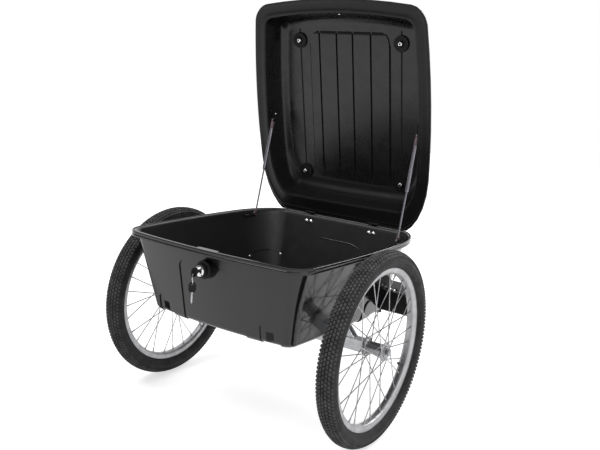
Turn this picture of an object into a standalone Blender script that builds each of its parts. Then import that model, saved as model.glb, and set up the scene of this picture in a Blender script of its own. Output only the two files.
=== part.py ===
# Bike cargo trailer: moulded tub with an open lid on two spoked wheels, in metres, +Z up.
# +Y is the way of travel, the lid is hinged at +Y, the lock is at -Y, the ground is Z = 0.
import bpy
import bmesh
import math
from mathutils import Matrix, Vector

for old in list(bpy.data.objects):
    bpy.data.objects.remove(old, do_unlink=True)

# Lengths in millimetres
MM = 0.001
GAP = 0.3

# Plan outline of the tub rim
RIM_HALF = 265.0
RIM_LENGTH = 614.5
RIM_FAR_Y = 364.7
SIDE_BOW = 18.0
NEAR_BOW = 21.0
FAR_BOW = 6.0
NEAR_RADIUS = 30.0
FAR_CORNER_X = 64.0
FAR_CORNER_Y = 154.0

# Tub
WALL = 4.0
DRAFT = math.tan(math.radians(12.6))
TUB_BOTTOM = 267.3
WALL_TOP = 470.0
WALL_TOP_INSET = 4.0
FLOOR_RADIUS = 18.0
RIM_TOP = 482.5
RIM_BEAD = 2.0
RIM_OUT = 13.0
PANEL_PROUD = 3.5
PANEL_HALF_TOP = 96.0
PANEL_HALF_LOW = 101.0
PANEL_TOP = 440.0
SLOT_X = 168.0
SLOT_Z = 284.0
SLOT_W = 21.0
SLOT_H = 31.0
PAD_HALF = 29.0
PAD_TOP = 326.0
SIDE_PAD_Y = 137.0

# Lid
LID_OPEN = math.radians(77.3)
HINGE_Y = 370.0
HINGE_Z = 488.0
LID_FLANGE_Z = 486.0
LID_CUT_Y = 371.4
LID_NOTCH_Y = 364.3
LID_DEPTH = 74.0
LID_FAR_IN = 26.0
GROOVE_X = (0.0, 57.0, -57.0, 113.0, -113.0)
GROOVE_DEEP = 1.5
GROOVE_W = 5.0
RAIL_X = 171.0
RAIL_S = (113.0, 527.0)

# Hinges
LEAF_X = 113.0
LEAF_HALF = 18.0
KNUCKLE_R = 5.0
PIN_R = 2.0
HINGE_BOLT_X = 8.0
HINGE_BOLT_Z = 460.0
BOLT_R = 2.2

# Lid struts
STRUT_X = 250.0
STRUT_TOP_S = 283.0
STRUT_TOP_D = 14.0
STRUT_FOOT_Y = 258.0
STRUT_FOOT_Z = 475.5
STRUT_TUBE_R = 5.5
STRUT_ROD_R = 2.6
STRUT_TUBE_L = 143.6
STRUT_NECK = 14.0
EYE_R = 7.0
EYE_HALF = 2.5
STUD_R = 2.6

# Lock
LOCK_X = 3.0
LOCK_Z = 432.0
LOCK_R = 23.0

# Frame
TUBE_HALF = 15.0
TUBE_WALL = 2.0
AXLE_Z = 252.0
CROSS_HALF = 314.0
DRAWBAR_X = -165.0
DRAWBAR_END = 1040.0
STAND_Y = 1005.0
STAND_Z = 218.0
STAND_TOE = 14.0
YAW_Y = 1068.0
PITCH_Y = 1096.0

# Wheels
WHEEL_X = 345.0
TYRE_R = 252.0
TYRE_HALF = 24.5
TREAD_DEEP = 2.5
RIM_R = 209.4
RIM_WIDE = 12.7
RIM_INNER = 191.2
WHEEL_N = 32
HUB_FLANGE_R = 25.0
HUB_SHELL_R = 16.0
HUB_FLANGE_X = 25.5
SPOKES = 28
SPOKE_R = 1.0
SPOKE_HOLE_R = 21.0
NIPPLE_R = 2.4
NIPPLE_L = 12.0
AXLE_R = 6.0


def linear(channel):
    """Display value to linear light."""
    if channel <= 0.04045:
        return channel / 12.92
    return ((channel + 0.055) / 1.055) ** 2.4


def material(name, shade, rough, metal):
    """Principled material from a display colour."""
    made = bpy.data.materials.new(name)
    made.use_nodes = True
    shader = made.node_tree.nodes["Principled BSDF"]
    colour = [linear(c / 255.0) for c in shade]
    shader.inputs["Base Color"].default_value = (*colour, 1.0)
    shader.inputs["Roughness"].default_value = rough
    shader.inputs["Metallic"].default_value = metal
    made.diffuse_color = (*colour, 1.0)
    return made


# Solids as pairs of corner and face lists

def loft(rings, closed=False):
    """Skin over rings of equal count, capped or joined end to end."""
    count = len(rings[0])
    verts = [tuple(p) for ring in rings for p in ring]
    faces = []
    spans = len(rings) if closed else len(rings) - 1
    for i in range(spans):
        low = i * count
        high = ((i + 1) % len(rings)) * count
        for k in range(count):
            n = (k + 1) % count
            faces.append((low + k, low + n, high + n, high + k))
    if not closed:
        faces.append(tuple(range(count)))
        faces.append(tuple((len(rings) - 1) * count + k for k in range(count)))
    return verts, faces


def prism(outline, axis, low, high):
    """Outline of two coordinates pushed along the third axis."""
    rings = []
    for level in (low, high):
        if axis == "X":
            rings.append([(level, a, b) for a, b in outline])
        elif axis == "Y":
            rings.append([(a, level, b) for a, b in outline])
        else:
            rings.append([(a, b, level) for a, b in outline])
    return loft(rings)


def box(x0, x1, y0, y1, z0, z1):
    """Rectangular block."""
    return prism([(x0, y0), (x1, y0), (x1, y1), (x0, y1)], "Z", z0, z1)


def circle(radius, along, centre, axis, count):
    """Ring of points about an axis."""
    points = []
    for k in range(count):
        turn = 2.0 * math.pi * (k + 0.5) / count
        c = radius * math.cos(turn)
        s = radius * math.sin(turn)
        if axis == "X":
            points.append((centre[0] + along, centre[1] + c, centre[2] + s))
        elif axis == "Y":
            points.append((centre[0] + c, centre[1] + along, centre[2] + s))
        else:
            points.append((centre[0] + c, centre[1] + s, centre[2] + along))
    return points


def turned(profile, centre, axis, count, hollow=False):
    """Turned solid from (radius, distance) pairs; hollow closes the profile."""
    rings = [circle(r, a, centre, axis, count) for r, a in profile]
    return loft(rings, hollow)


def rod(start, end, radii, count):
    """Straight bar between two points with (share, radius) steps."""
    a = Vector(start)
    b = Vector(end)
    way = b - a
    turn = way.to_track_quat("Z", "Y").to_matrix()
    rings = []
    for share, radius in radii:
        middle = a + way * share
        ring = []
        for k in range(count):
            angle = 2.0 * math.pi * k / count
            ring.append(middle + turn @ Vector((radius * math.cos(angle), radius * math.sin(angle), 0.0)))
        rings.append(ring)
    return loft(rings)


def moved(solid, matrix):
    """Solid carried by a matrix."""
    verts, faces = solid
    return [tuple(matrix @ Vector(v)) for v in verts], faces


def joined(solids):
    """Several separate solids as one list."""
    verts = []
    faces = []
    for v, f in solids:
        base = len(verts)
        verts.extend(v)
        faces.extend(tuple(i + base for i in face) for face in f)
    return verts, faces


def mesh_from(name, solid):
    """Mesh with its faces turned outward."""
    mesh = bpy.data.meshes.new(name)
    mesh.from_pydata([Vector(v) * MM for v in solid[0]], [], solid[1])
    shape = bmesh.new()
    shape.from_mesh(mesh)
    bmesh.ops.remove_doubles(shape, verts=shape.verts, dist=0.00001)
    bmesh.ops.recalc_face_normals(shape, faces=shape.faces)
    shape.to_mesh(mesh)
    shape.free()
    mesh.update()
    return mesh


def boolean(solid, other, operation):
    """Exact union, difference or intersection of two solids."""
    body = bpy.data.objects.new("body", mesh_from("body", solid))
    tool = bpy.data.objects.new("tool", mesh_from("tool", other))
    bpy.context.scene.collection.objects.link(body)
    bpy.context.scene.collection.objects.link(tool)
    tool.hide_render = True
    tool.display_type = "WIRE"
    step = body.modifiers.new("step", "BOOLEAN")
    step.operation = operation
    step.solver = "EXACT"
    step.object = tool
    bpy.context.view_layer.update()
    view = bpy.context.evaluated_depsgraph_get()
    result = bpy.data.meshes.new_from_object(body.evaluated_get(view))
    verts = [tuple(v.co / MM) for v in result.vertices]
    faces = [tuple(p.vertices) for p in result.polygons]
    bpy.data.objects.remove(body, do_unlink=True)
    bpy.data.objects.remove(tool, do_unlink=True)
    return verts, faces


def piece(name, solids, look, pivot=(0.0, 0.0, 0.0), smooth=None):
    """Named object made of solids, its origin on the pivot."""
    verts, faces = joined(solids)
    shift = Vector(pivot)
    mesh = mesh_from(name, ([tuple(Vector(v) - shift) for v in verts], faces))
    if smooth is not None:
        mesh.shade_smooth()
        mesh.set_sharp_from_angle(angle=math.radians(smooth))
    made = bpy.data.objects.new(name, mesh)
    made.location = shift * MM
    made.data.materials.append(look)
    bpy.context.scene.collection.objects.link(made)
    return made


# Shared plan of tub and lid

def plan(off, height, far_in=0.0):
    """Ring of the bowed plan, grown by off, with its far edge moved in."""
    soft = off if off > 0.0 else 0.2 * off
    radius = NEAR_RADIUS + soft
    ex = FAR_CORNER_X + (off if off > 0.0 else 0.5 * off)
    ey = FAR_CORNER_Y + (off if off > 0.0 else 0.8 * off) - 0.5 * far_in
    half = RIM_HALF + off
    far = far_in - off
    near = RIM_LENGTH + off
    points = [((half - radius) * k / 4.0, near) for k in range(5)]
    for k in range(1, 5):
        turn = math.radians(22.5 * k)
        points.append((half - radius + radius * math.sin(turn), near - radius + radius * math.cos(turn)))
    top = near - radius
    low = far + ey
    points += [(half, top + (low - top) * k / 6.0) for k in range(1, 7)]
    for k in range(1, 7):
        turn = math.radians(15.0 * k)
        points.append((half - ex + ex * math.cos(turn), low - ey * math.sin(turn)))
    points += [((half - ex) * (1.0 - k / 3.0), far) for k in range(1, 4)]
    ring = []
    for x, s in points:
        t = (s - RIM_LENGTH / 2.0) / (RIM_LENGTH / 2.0)
        bowed = x + SIDE_BOW * (1.0 - t * t) * min(1.0, x / half)
        along = s + (NEAR_BOW if t > 0.0 else FAR_BOW) * (1.0 - (x / half) ** 2) * t
        ring.append((bowed, RIM_FAR_Y - along, height))
    mirrored = [(-x, y, z) for x, y, z in ring[-2:0:-1]]
    return ring + mirrored


def wall_inset(z):
    """Inset of the outer wall face at a height."""
    return -WALL_TOP_INSET - (WALL_TOP - z) * DRAFT


def near_face(x, z):
    """Y of the tub's outer near face."""
    half = RIM_HALF + wall_inset(z)
    return RIM_FAR_Y - RIM_LENGTH - wall_inset(z) - NEAR_BOW * (1.0 - (x / half) ** 2)


def floor_arc(radius, grow=0.0):
    """Inset and height pairs round the bottom edge."""
    end = math.atan(DRAFT)
    middle_z = TUB_BOTTOM + FLOOR_RADIUS
    arc_top = middle_z - FLOOR_RADIUS * math.sin(end)
    middle = wall_inset(arc_top) - FLOOR_RADIUS * math.cos(end)
    pairs = []
    for k in range(4):
        turn = (math.pi / 2.0 - end) * k / 3.0
        pairs.append((middle + (radius + grow) * math.sin(turn), middle_z - (radius + grow) * math.cos(turn)))
    return pairs


def tub_shell():
    """Thin drafted tub with a rolled double-bead rim."""
    bead = RIM_TOP + RIM_BEAD
    levels = floor_arc(FLOOR_RADIUS)
    levels += [(wall_inset(WALL_TOP), WALL_TOP), (-2.5, 477.0), (0.0, RIM_TOP - WALL)]
    levels += [(8.5, RIM_TOP - WALL), (9.5, 470.0), (RIM_OUT - 0.6, 469.0), (RIM_OUT, 474.0)]
    levels += [(RIM_OUT - 1.5, 476.6), (RIM_OUT, 479.0), (RIM_OUT - 0.6, bead - 1.0)]
    levels += [(RIM_OUT - 2.4, bead), (8.0, bead - 0.2), (6.6, RIM_TOP), (0.6, RIM_TOP), (-3.8, 480.4)]
    levels += [(-6.9, 474.5), (wall_inset(WALL_TOP) - WALL, WALL_TOP)]
    levels += floor_arc(FLOOR_RADIUS - WALL)[::-1]
    return loft([plan(off, z) for off, z in levels])


def grown_tub(proud, top=WALL_TOP):
    """Solid tub body grown outward, used to shape raised pads."""
    levels = floor_arc(FLOOR_RADIUS, proud)
    levels.append((wall_inset(top) + proud, top))
    return loft([plan(off, z) for off, z in levels])


def arch(half_low, half_top, low, top, corner):
    """Outline of a panel with rounded upper corners."""
    points = [(-half_low, low), (half_low, low)]
    for k in range(5):
        turn = math.radians(22.5 * k)
        points.append((half_top - corner + corner * math.cos(turn), top - corner + corner * math.sin(turn)))
    for k in range(5):
        turn = math.radians(90.0 + 22.5 * k)
        points.append((-half_top + corner + corner * math.cos(turn), top - corner + corner * math.sin(turn)))
    return points


def raised_pads():
    """Near panel and strap pads, cut from the grown tub."""
    low = TUB_BOTTOM
    blanks = [prism(arch(PANEL_HALF_LOW, PANEL_HALF_TOP, low, PANEL_TOP, 24.0), "Y", -300.0, -200.0)]
    for side in (-1.0, 1.0):
        pad = [(x + side * SLOT_X, z) for x, z in arch(PAD_HALF, PAD_HALF - 3.0, low, PAD_TOP, 12.0)]
        blanks.append(prism(pad, "Y", -300.0, -200.0))
        for y in (-SIDE_PAD_Y, SIDE_PAD_Y):
            outline = [(a + y, z) for a, z in arch(24.0, 21.0, low, PAD_TOP, 17.0)]
            blanks.append(prism(outline, "X", side * 200.0, side * 320.0))
    raised = boolean(grown_tub(PANEL_PROUD), joined(blanks), "INTERSECT")
    return boolean(raised, grown_tub(-WALL / 2.0, WALL_TOP + 5.0), "DIFFERENCE")


def make_tub(look):
    """Tub with raised panels, strap slots and hinge notches."""
    body = boolean(tub_shell(), raised_pads(), "UNION")
    cuts = []
    for side in (-1.0, 1.0):
        x = side * SLOT_X
        cuts.append(box(x - SLOT_W / 2.0, x + SLOT_W / 2.0, -300.0, -190.0, SLOT_Z, SLOT_Z + SLOT_H))
        x = side * LEAF_X
        cuts.append(box(x - LEAF_HALF - 3.0, x + LEAF_HALF + 3.0, 372.3, 400.0, 460.0, 500.0))
    cuts.append(turned([(LOCK_R - 7.0, -300.0), (LOCK_R - 7.0, -240.0)], (LOCK_X, 0.0, LOCK_Z), "Y", 16))
    cuts += hinge_holes((-1.0, 1.0))
    body = boolean(body, joined(cuts), "DIFFERENCE")
    inner = near_face(0.0, 478.0) + WALL
    ledge = box(-31.5, 31.5, inner - 1.0, inner + 13.0, 476.0, 480.0)
    body = boolean(body, ledge, "UNION")
    piece("tub", [body], look, smooth=32)


# Lid, drawn closed and turned open about its hinge

def opened():
    """Matrix that turns the closed lid open."""
    centre = Vector((0.0, HINGE_Y, HINGE_Z))
    return Matrix.Translation(centre) @ Matrix.Rotation(-LID_OPEN, 4, "X") @ Matrix.Translation(-centre)


def lid_piece(name, solids, look, smooth=None):
    """Object that rides on the open lid."""
    turn = opened()
    piece(name, [moved(s, turn) for s in solids], look, (0.0, HINGE_Y, HINGE_Z), smooth)


def lid_shell():
    """Dished lid with a wide beaded flange."""
    d = LID_DEPTH
    levels = [(-45.0, 29.0, d), (-41.0, 27.0, d - 2.5), (-38.8, LID_FAR_IN, d - 7.0), (-24.5, LID_FAR_IN, 5.0)]
    levels += [(-23.0, LID_FAR_IN, 1.0), (-20.5, 25.0, -0.8), (-17.5, 24.0, -0.8), (-15.5, 23.0, 0.4)]
    levels += [(3.5, 2.0, 0.4), (5.0, 0.0, -1.0), (12.8, 0.0, -1.0), (13.3, 0.0, 0.2), (13.3, 0.0, 3.6)]
    levels += [(12.3, 0.0, 4.4), (-19.5, 23.0, 4.4), (-20.6, 24.0, 9.0), (-34.7, 24.0, d - 6.0)]
    levels += [(-37.5, 25.5, d + 1.5), (-43.5, 28.5, d + WALL)]
    return loft([plan(off, LID_FLANGE_Z + z, far) for off, far, z in levels])


def make_lid(look):
    """Lid with its grooved floor and straight hinge end."""
    body = lid_shell()
    floor = LID_FLANGE_Z + LID_DEPTH
    wide = LEAF_HALF + 0.8
    comb = [(320.0, 420.0), (-320.0, 420.0), (-320.0, LID_CUT_Y)]
    for x in (-LEAF_X, LEAF_X):
        comb += [(x - wide, LID_CUT_Y), (x - wide, LID_NOTCH_Y), (x + wide, LID_NOTCH_Y), (x + wide, LID_CUT_Y)]
    comb.append((320.0, LID_CUT_Y))
    cuts = [prism(comb, "Z", 440.0, 520.0)]
    for x in GROOVE_X:
        top = 60.0 + 12.0 * (x / 113.0) ** 2
        cuts.append(box(x - GROOVE_W / 2.0, x + GROOVE_W / 2.0, HINGE_Y - 558.0 + top - 60.0,
                        HINGE_Y - 82.0, floor - 6.0, floor + GROOVE_DEEP))
    for side in (-1.0, 1.0):
        x = side * RAIL_X
        cuts.append(box(x - GROOVE_W / 2.0, x + GROOVE_W / 2.0, HINGE_Y - 572.0, HINGE_Y - 92.0,
                        floor - 6.0, floor + GROOVE_DEEP))
    for side in (-1.0, 1.0):
        x = side * 141.0
        cuts.append(box(x - 1.6, x + 1.6, HINGE_Y - 556.0, HINGE_Y - 86.0, floor - 6.0, floor + 1.0))
    body = boolean(body, joined(cuts), "DIFFERENCE")
    lid_piece("lid", [body], look, smooth=32)


def make_rails(look, fixing):
    """Luggage rails on top of the lid, with inner washers and bolts."""
    top = LID_FLANGE_Z + LID_DEPTH + WALL
    floor = LID_FLANGE_Z + LID_DEPTH
    ends = [HINGE_Y - s for s in RAIL_S]
    profile = [(ends[1] - 22.0, top + GAP), (ends[0] + 22.0, top + GAP), (ends[0] + 20.0, top + 6.0)]
    profile += [(ends[0] + 6.0, top + 13.0), (ends[1] - 6.0, top + 13.0), (ends[1] - 20.0, top + 6.0)]
    for side, word in ((-1.0, "left"), (1.0, "right")):
        x = side * RAIL_X
        lid_piece("lid_rail_" + word, [prism(profile, "X", x - 8.0, x + 8.0)], look)
        for s, end in zip(RAIL_S, ("low", "high")):
            disc = [(24.0, floor - GAP), (23.0, floor - 6.0), (9.5, floor - 6.0), (9.5, floor - 8.6)]
            disc.append((5.5, floor - 11.6))
            solid = turned(disc, (x, HINGE_Y - s, 0.0), "Z", 14)
            lid_piece("rail_bolt_" + word + "_" + end, [solid], fixing, smooth=35)


# Hinges

def knuckle_outline(start, end, count):
    """Part of the knuckle circle as outline points."""
    points = []
    for k in range(count + 1):
        turn = math.radians(start + (end - start) * k / count)
        points.append((HINGE_Y + KNUCKLE_R * math.cos(turn), HINGE_Z + KNUCKLE_R * math.sin(turn)))
    return points


def hinge_bolt(x, wall_y):
    """Bolt through the far wall and the hinge leaf, with its nut."""
    inner = wall_y + wall_inset(HINGE_BOLT_Z) - WALL - 2.8
    outer = wall_y + wall_inset(HINGE_BOLT_Z) + 3.9
    profile = [(2.8, inner - 3.4), (5.0, inner - 1.4), (5.0, inner), (BOLT_R, inner), (BOLT_R, outer)]
    profile += [(4.4, outer), (4.4, outer + 3.4)]
    return turned(profile, (x, 0.0, HINGE_BOLT_Z), "Y", 8)


def hinge_holes(sides):
    """Cutters for the bolt holes in wall and leaf."""
    holes = []
    for side in sides:
        for shift in (-HINGE_BOLT_X, HINGE_BOLT_X):
            spot = (side * LEAF_X + shift, 0.0, HINGE_BOLT_Z)
            holes.append(turned([(BOLT_R + GAP, 340.0), (BOLT_R + GAP, 390.0)], spot, "Y", 8))
    return holes


def make_hinges(leaf, steel):
    """Two leaf hinges with pins and bolts."""
    wall_y = RIM_FAR_Y + FAR_BOW - 0.2
    low = (wall_y + wall_inset(452.0), 452.0)
    high = (wall_y + wall_inset(475.0), 475.0)
    bore = PIN_R + GAP
    top = HINGE_Z + KNUCKLE_R
    for side, word in ((-1.0, "left"), (1.0, "right")):
        x = side * LEAF_X
        plate = [(low[0] + GAP, low[1]), (low[0] + GAP + 2.2, low[1]), (high[0] + GAP + 2.2, high[1] - 1.0)]
        plate += [(375.4, high[1] - 1.0), (375.4, 482.0), (373.4, 482.0), (373.4, high[1] + 1.2)]
        plate += [(high[0] + GAP + 1.8, high[1] + 1.2), (high[0] + GAP, high[1] - 3.0)]
        tongue = [(373.4, 481.0), (375.4, 481.0)] + knuckle_outline(0.0, 300.0, 12)
        solid = prism(plate, "X", x - LEAF_HALF, x + LEAF_HALF)
        solid = boolean(solid, prism(tongue, "X", x - 9.0, x + 9.0), "UNION")
        hole = turned([(bore, -30.0), (bore, 30.0)], (x, HINGE_Y, HINGE_Z), "X", 12)
        solid = boolean(solid, joined([hole] + hinge_holes([side])), "DIFFERENCE")
        piece("hinge_leaf_tub_" + word, [solid], leaf)
        arm = [(HINGE_Y - 7.0, top), (HINGE_Y - 7.0, top - 2.2)] + knuckle_outline(154.0, 450.0, 12)
        solid = box(x - LEAF_HALF, x + LEAF_HALF, 338.0, HINGE_Y - 6.0, top - 2.2, top)
        for a, b in ((-LEAF_HALF, -9.3), (9.3, LEAF_HALF)):
            solid = boolean(solid, prism(arm, "X", x + a, x + b), "UNION")
        for shift in (-HINGE_BOLT_X, HINGE_BOLT_X):
            head = turned([(4.2, top - 0.5), (4.2, top + 3.0)], (x + shift, 347.0, 0.0), "Z", 6)
            solid = boolean(solid, head, "UNION")
        lid_piece("hinge_leaf_lid_" + word, [boolean(solid, hole, "DIFFERENCE")], leaf)
        pin = turned([(PIN_R, -LEAF_HALF), (PIN_R, LEAF_HALF)], (x, HINGE_Y, HINGE_Z), "X", 12)
        piece("hinge_pin_" + word, [pin], steel, smooth=35)
        for shift, end in ((-HINGE_BOLT_X, "a"), (HINGE_BOLT_X, "b")):
            piece("hinge_bolt_" + word + "_" + end, [hinge_bolt(x + shift, wall_y)], steel, smooth=35)


# Struts that hold the lid

def strut_top(side):
    """Upper pivot of a strut with the lid open."""
    closed = Vector((side * STRUT_X, HINGE_Y - STRUT_TOP_S, LID_FLANGE_Z + STRUT_TOP_D))
    return opened() @ closed


def eye(centre, way, radius, length):
    """Plastic end fitting: a bored disc with a neck along the strut."""
    disc = turned([(STUD_R + GAP, -EYE_HALF), (radius, -EYE_HALF), (radius, EYE_HALF), (STUD_R + GAP, EYE_HALF)],
                  tuple(centre), "X", 12, hollow=True)
    neck = rod(centre + way * (radius * 0.6), centre + way * length, ((0.0, 2.4), (1.0, 3.2)), 8)
    return boolean(disc, neck, "UNION")


def make_strut(side, word, looks):
    """One strut from lid pivot to tub pivot."""
    silver, steel, socket, bolt = looks
    top = strut_top(side)
    foot = Vector((side * STRUT_X, STRUT_FOOT_Y, STRUT_FOOT_Z))
    way = (foot - top).normalized()
    piece("strut_socket_top_" + word, [eye(top, way, EYE_R, STRUT_NECK)], socket, tuple(top), 35)
    start = top + way * (STRUT_NECK + GAP)
    end = start + way * STRUT_TUBE_L
    tube = rod(start, end, ((0.0, 4.0), (0.02, STRUT_TUBE_R), (0.97, STRUT_TUBE_R), (1.0, 4.4)), 14)
    bore = rod(start + way * 3.0, end + way * 2.0, ((0.0, STRUT_ROD_R + 0.5), (1.0, STRUT_ROD_R + 0.5)), 10)
    piece("strut_tube_" + word, [boolean(tube, bore, "DIFFERENCE")], silver, tuple(top), 35)
    inner = end - way * 14.0
    last = foot - way * (STRUT_NECK + GAP)
    piece("strut_rod_" + word, [rod(inner, last, ((0.0, STRUT_ROD_R), (1.0, STRUT_ROD_R)), 10)], steel,
          tuple(foot), 35)
    piece("strut_socket_foot_" + word, [eye(foot, -way, EYE_R, STRUT_NECK)], socket, tuple(foot), 35)
    wall = side * (STRUT_X + EYE_HALF)
    spot = (0.0, HINGE_Y - STRUT_TOP_S, LID_FLANGE_Z + STRUT_TOP_D)
    stud = turned([(4.2, wall - side * 8.6), (4.2, wall - side * 6.6), (STUD_R, wall - side * 6.0),
                   (STUD_R, wall + side * 0.6)], spot, "X", 12)
    plate = box(min(wall + side * 0.3, wall + side * 2.4), max(wall + side * 0.3, wall + side * 2.4),
                spot[1] - 40.0, spot[1] + 6.0, spot[2] - 6.0, spot[2] + 3.0)
    inner_x = wall + side * 0.8
    head = turned([(4.6, inner_x), (4.6, inner_x - side * 2.0), (2.6, inner_x - side * 3.6)],
                  (0.0, spot[1] - 31.0, spot[2] - 1.5), "X", 8)
    solid = boolean(boolean(plate, stud, "UNION"), head, "UNION")
    lid_piece("strut_bracket_lid_" + word, [solid], bolt, 35)
    plate_x = side * (STRUT_X + EYE_HALF + 1.0)
    y, z = STRUT_FOOT_Y, STRUT_FOOT_Z
    outline = [(y - 38.0, z - 11.0), (y + 7.0, z - 11.0), (y + 7.0, z + 5.0), (y - 7.0, z + 5.0)]
    outline += [(y - 12.0, z - 4.0), (y - 38.0, z - 4.0)]
    plate = prism(outline, "X", min(plate_x, plate_x + side * 2.0), max(plate_x, plate_x + side * 2.0))
    stud = turned([(STUD_R, plate_x + side * 0.5), (STUD_R, plate_x - side * 5.6)], (0.0, y, z), "X", 12)
    foot_block = box(min(plate_x + side * 1.0, plate_x + side * 12.6), max(plate_x + side * 1.0, plate_x + side * 12.6),
                     y - 38.0, y - 24.0, z - 9.0, z - 4.5)
    inner_x = plate_x + side * 0.5
    head = turned([(3.7, inner_x), (3.7, inner_x - side * 2.0), (2.4, inner_x - side * 3.4)],
                  (0.0, y - 31.0, z - 5.6), "X", 8)
    solid = boolean(boolean(plate, foot_block, "UNION"), stud, "UNION")
    piece("strut_bracket_tub_" + word, [boolean(solid, head, "UNION")], bolt, smooth=35)


# Lock, latch and keys

def make_lock(black, chrome, steel, plastic):
    """Key lock on the near face with latch and hanging spare key."""
    face = near_face(LOCK_X, LOCK_Z) - PANEL_PROUD
    centre = (LOCK_X, 0.0, LOCK_Z)
    slope = near_face(LOCK_X, LOCK_Z - LOCK_R) - near_face(LOCK_X, LOCK_Z)
    back = face - GAP - 0.4
    profile = [(10.4, back + 28.0), (LOCK_R - 7.4, back + 28.0), (LOCK_R - 7.4, back - slope), (LOCK_R, back - slope)]
    profile += [(LOCK_R, back - slope - 6.0), (LOCK_R - 5.0, back - slope - 8.0), (LOCK_R - 6.0, back - slope - 18.0)]
    profile += [(LOCK_R - 9.0, back - slope - 19.0), (10.4, back - slope - 19.0)]
    piece("lock_housing", [turned(profile, centre, "Y", 18, hollow=True)], black, centre, 30)
    front = back - slope - 21.0
    body = turned([(10.0, back + 28.7), (10.0, front + 1.0), (9.0, front)], centre, "Y", 20)
    slot = box(LOCK_X - 1.2, LOCK_X + 1.2, front - 5.0, front + 16.0, LOCK_Z - 4.6, LOCK_Z + 4.6)
    body = boolean(body, slot, "DIFFERENCE")
    pivot = (LOCK_X, front, LOCK_Z)
    piece("lock_cylinder", [body], chrome, pivot, 35)
    blade = box(LOCK_X - 0.9, LOCK_X + 0.9, front - 7.0, front + 14.0, LOCK_Z - 4.0, LOCK_Z + 4.0)
    bow = prism([(front - 5.3, LOCK_Z - 6.0), (front - 5.3, LOCK_Z + 6.0), (front - 10.0, LOCK_Z + 11.0),
                 (front - 22.0, LOCK_Z + 11.0), (front - 27.0, LOCK_Z + 6.0), (front - 27.0, LOCK_Z - 6.0),
                 (front - 22.0, LOCK_Z - 11.0), (front - 10.0, LOCK_Z - 11.0)], "X", LOCK_X - 1.3, LOCK_X + 1.3)
    eyelet = (LOCK_X, front - 21.0, LOCK_Z - 5.0)
    hole = turned([(3.5, -6.0), (3.5, 6.0)], eyelet, "X", 10)
    bow = boolean(boolean(bow, blade, "UNION"), hole, "DIFFERENCE")
    piece("key", [bow], plastic, pivot, 35)
    make_key_ring(eyelet, chrome, plastic)
    make_latch(centre, back, steel)


def make_key_ring(eyelet, chrome, plastic):
    """Ring through the key bow, and the spare key on it."""
    ring_r = 12.0
    middle = (eyelet[0], eyelet[1], eyelet[2] - ring_r + 1.0)
    skew = Matrix.Rotation(math.radians(-45.0), 3, "Z")
    rings = []
    for k in range(12):
        turn = 2.0 * math.pi * k / 12
        out = Vector((math.sin(turn), 0.0, math.cos(turn)))
        loop = []
        for n in range(5):
            small = 2.0 * math.pi * n / 5
            flat = out * (ring_r + math.cos(small)) + Vector((0.0, math.sin(small), 0.0))
            loop.append(Vector(middle) + skew @ flat)
        rings.append(loop)
    piece("key_ring", [loft(rings, closed=True)], chrome, eyelet, 60)
    low = middle[2] - ring_r
    x = middle[0]
    y = middle[1]
    bow = prism([(x - 6.0, low - 20.0), (x + 6.0, low - 20.0), (x + 9.0, low - 14.0), (x + 9.0, low - 2.0),
                 (x + 5.0, low + 4.6), (x - 5.0, low + 4.6), (x - 9.0, low - 2.0), (x - 9.0, low - 14.0)],
                "Y", y - 1.5, y + 1.5)
    hole = turned([(3.0, -6.0), (3.0, 6.0)], (x, y, low - 1.0), "Y", 10)
    blade = prism([(x - 4.0, low - 18.0), (x - 4.0, low - 44.0), (x, low - 48.0), (x + 3.0, low - 44.0),
                   (x + 2.0, low - 38.0), (x + 3.4, low - 34.0), (x + 2.2, low - 29.0), (x + 4.0, low - 18.0)],
                  "Y", y - 0.9, y + 0.9)
    solid = boolean(boolean(bow, blade, "UNION"), hole, "DIFFERENCE")
    spot = Vector((x, y, 0.0))
    turn = Matrix.Translation(spot) @ Matrix.Rotation(math.radians(45.0), 4, "Z") @ Matrix.Translation(-spot)
    piece("spare_key", [moved(solid, turn)], plastic, eyelet, 35)


def make_latch(centre, back, steel):
    """Latch bar behind the lock."""
    y0 = back + 29.0
    bar = prism([(centre[0] - 38.0, LOCK_Z - 7.0), (centre[0] + 8.0, LOCK_Z - 9.0), (centre[0] + 9.0, LOCK_Z + 9.0),
                 (centre[0] - 38.0, LOCK_Z + 7.0)], "Y", y0, y0 + 3.0)
    piece("latch_bar", [bar], steel, (centre[0], y0, LOCK_Z))


# Frame

def square_tube(half, wall, axis, low, high, centre):
    """Open square tube along an axis."""
    rings = []
    for size, level in ((half, low), (half, high), (half - wall, high), (half - wall, low)):
        corners = [(-size, -size), (size, -size), (size, size), (-size, size)]
        if axis == "X":
            rings.append([(level, centre[0] + a, centre[1] + b) for a, b in corners])
        else:
            rings.append([(centre[0] + a, level, centre[1] + b) for a, b in corners])
    return loft(rings, closed=True)


def gusset(side, y):
    """Upright plate on the axle beam beside the tub."""
    inner = RIM_HALF + SIDE_BOW + wall_inset(285.0) + PANEL_PROUD
    base = AXLE_Z + TUBE_HALF - 1.0
    outline = [(side * (inner + 1.5), base), (side * (inner + 44.0), base), (side * (inner + 44.0), base + 2.0)]
    outline += [(side * (inner + 10.5), 306.0), (side * (inner + 6.2), 306.0), (side * (inner + 1.5), 285.0)]
    return prism(outline, "Y", y, y + 4.0)


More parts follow.
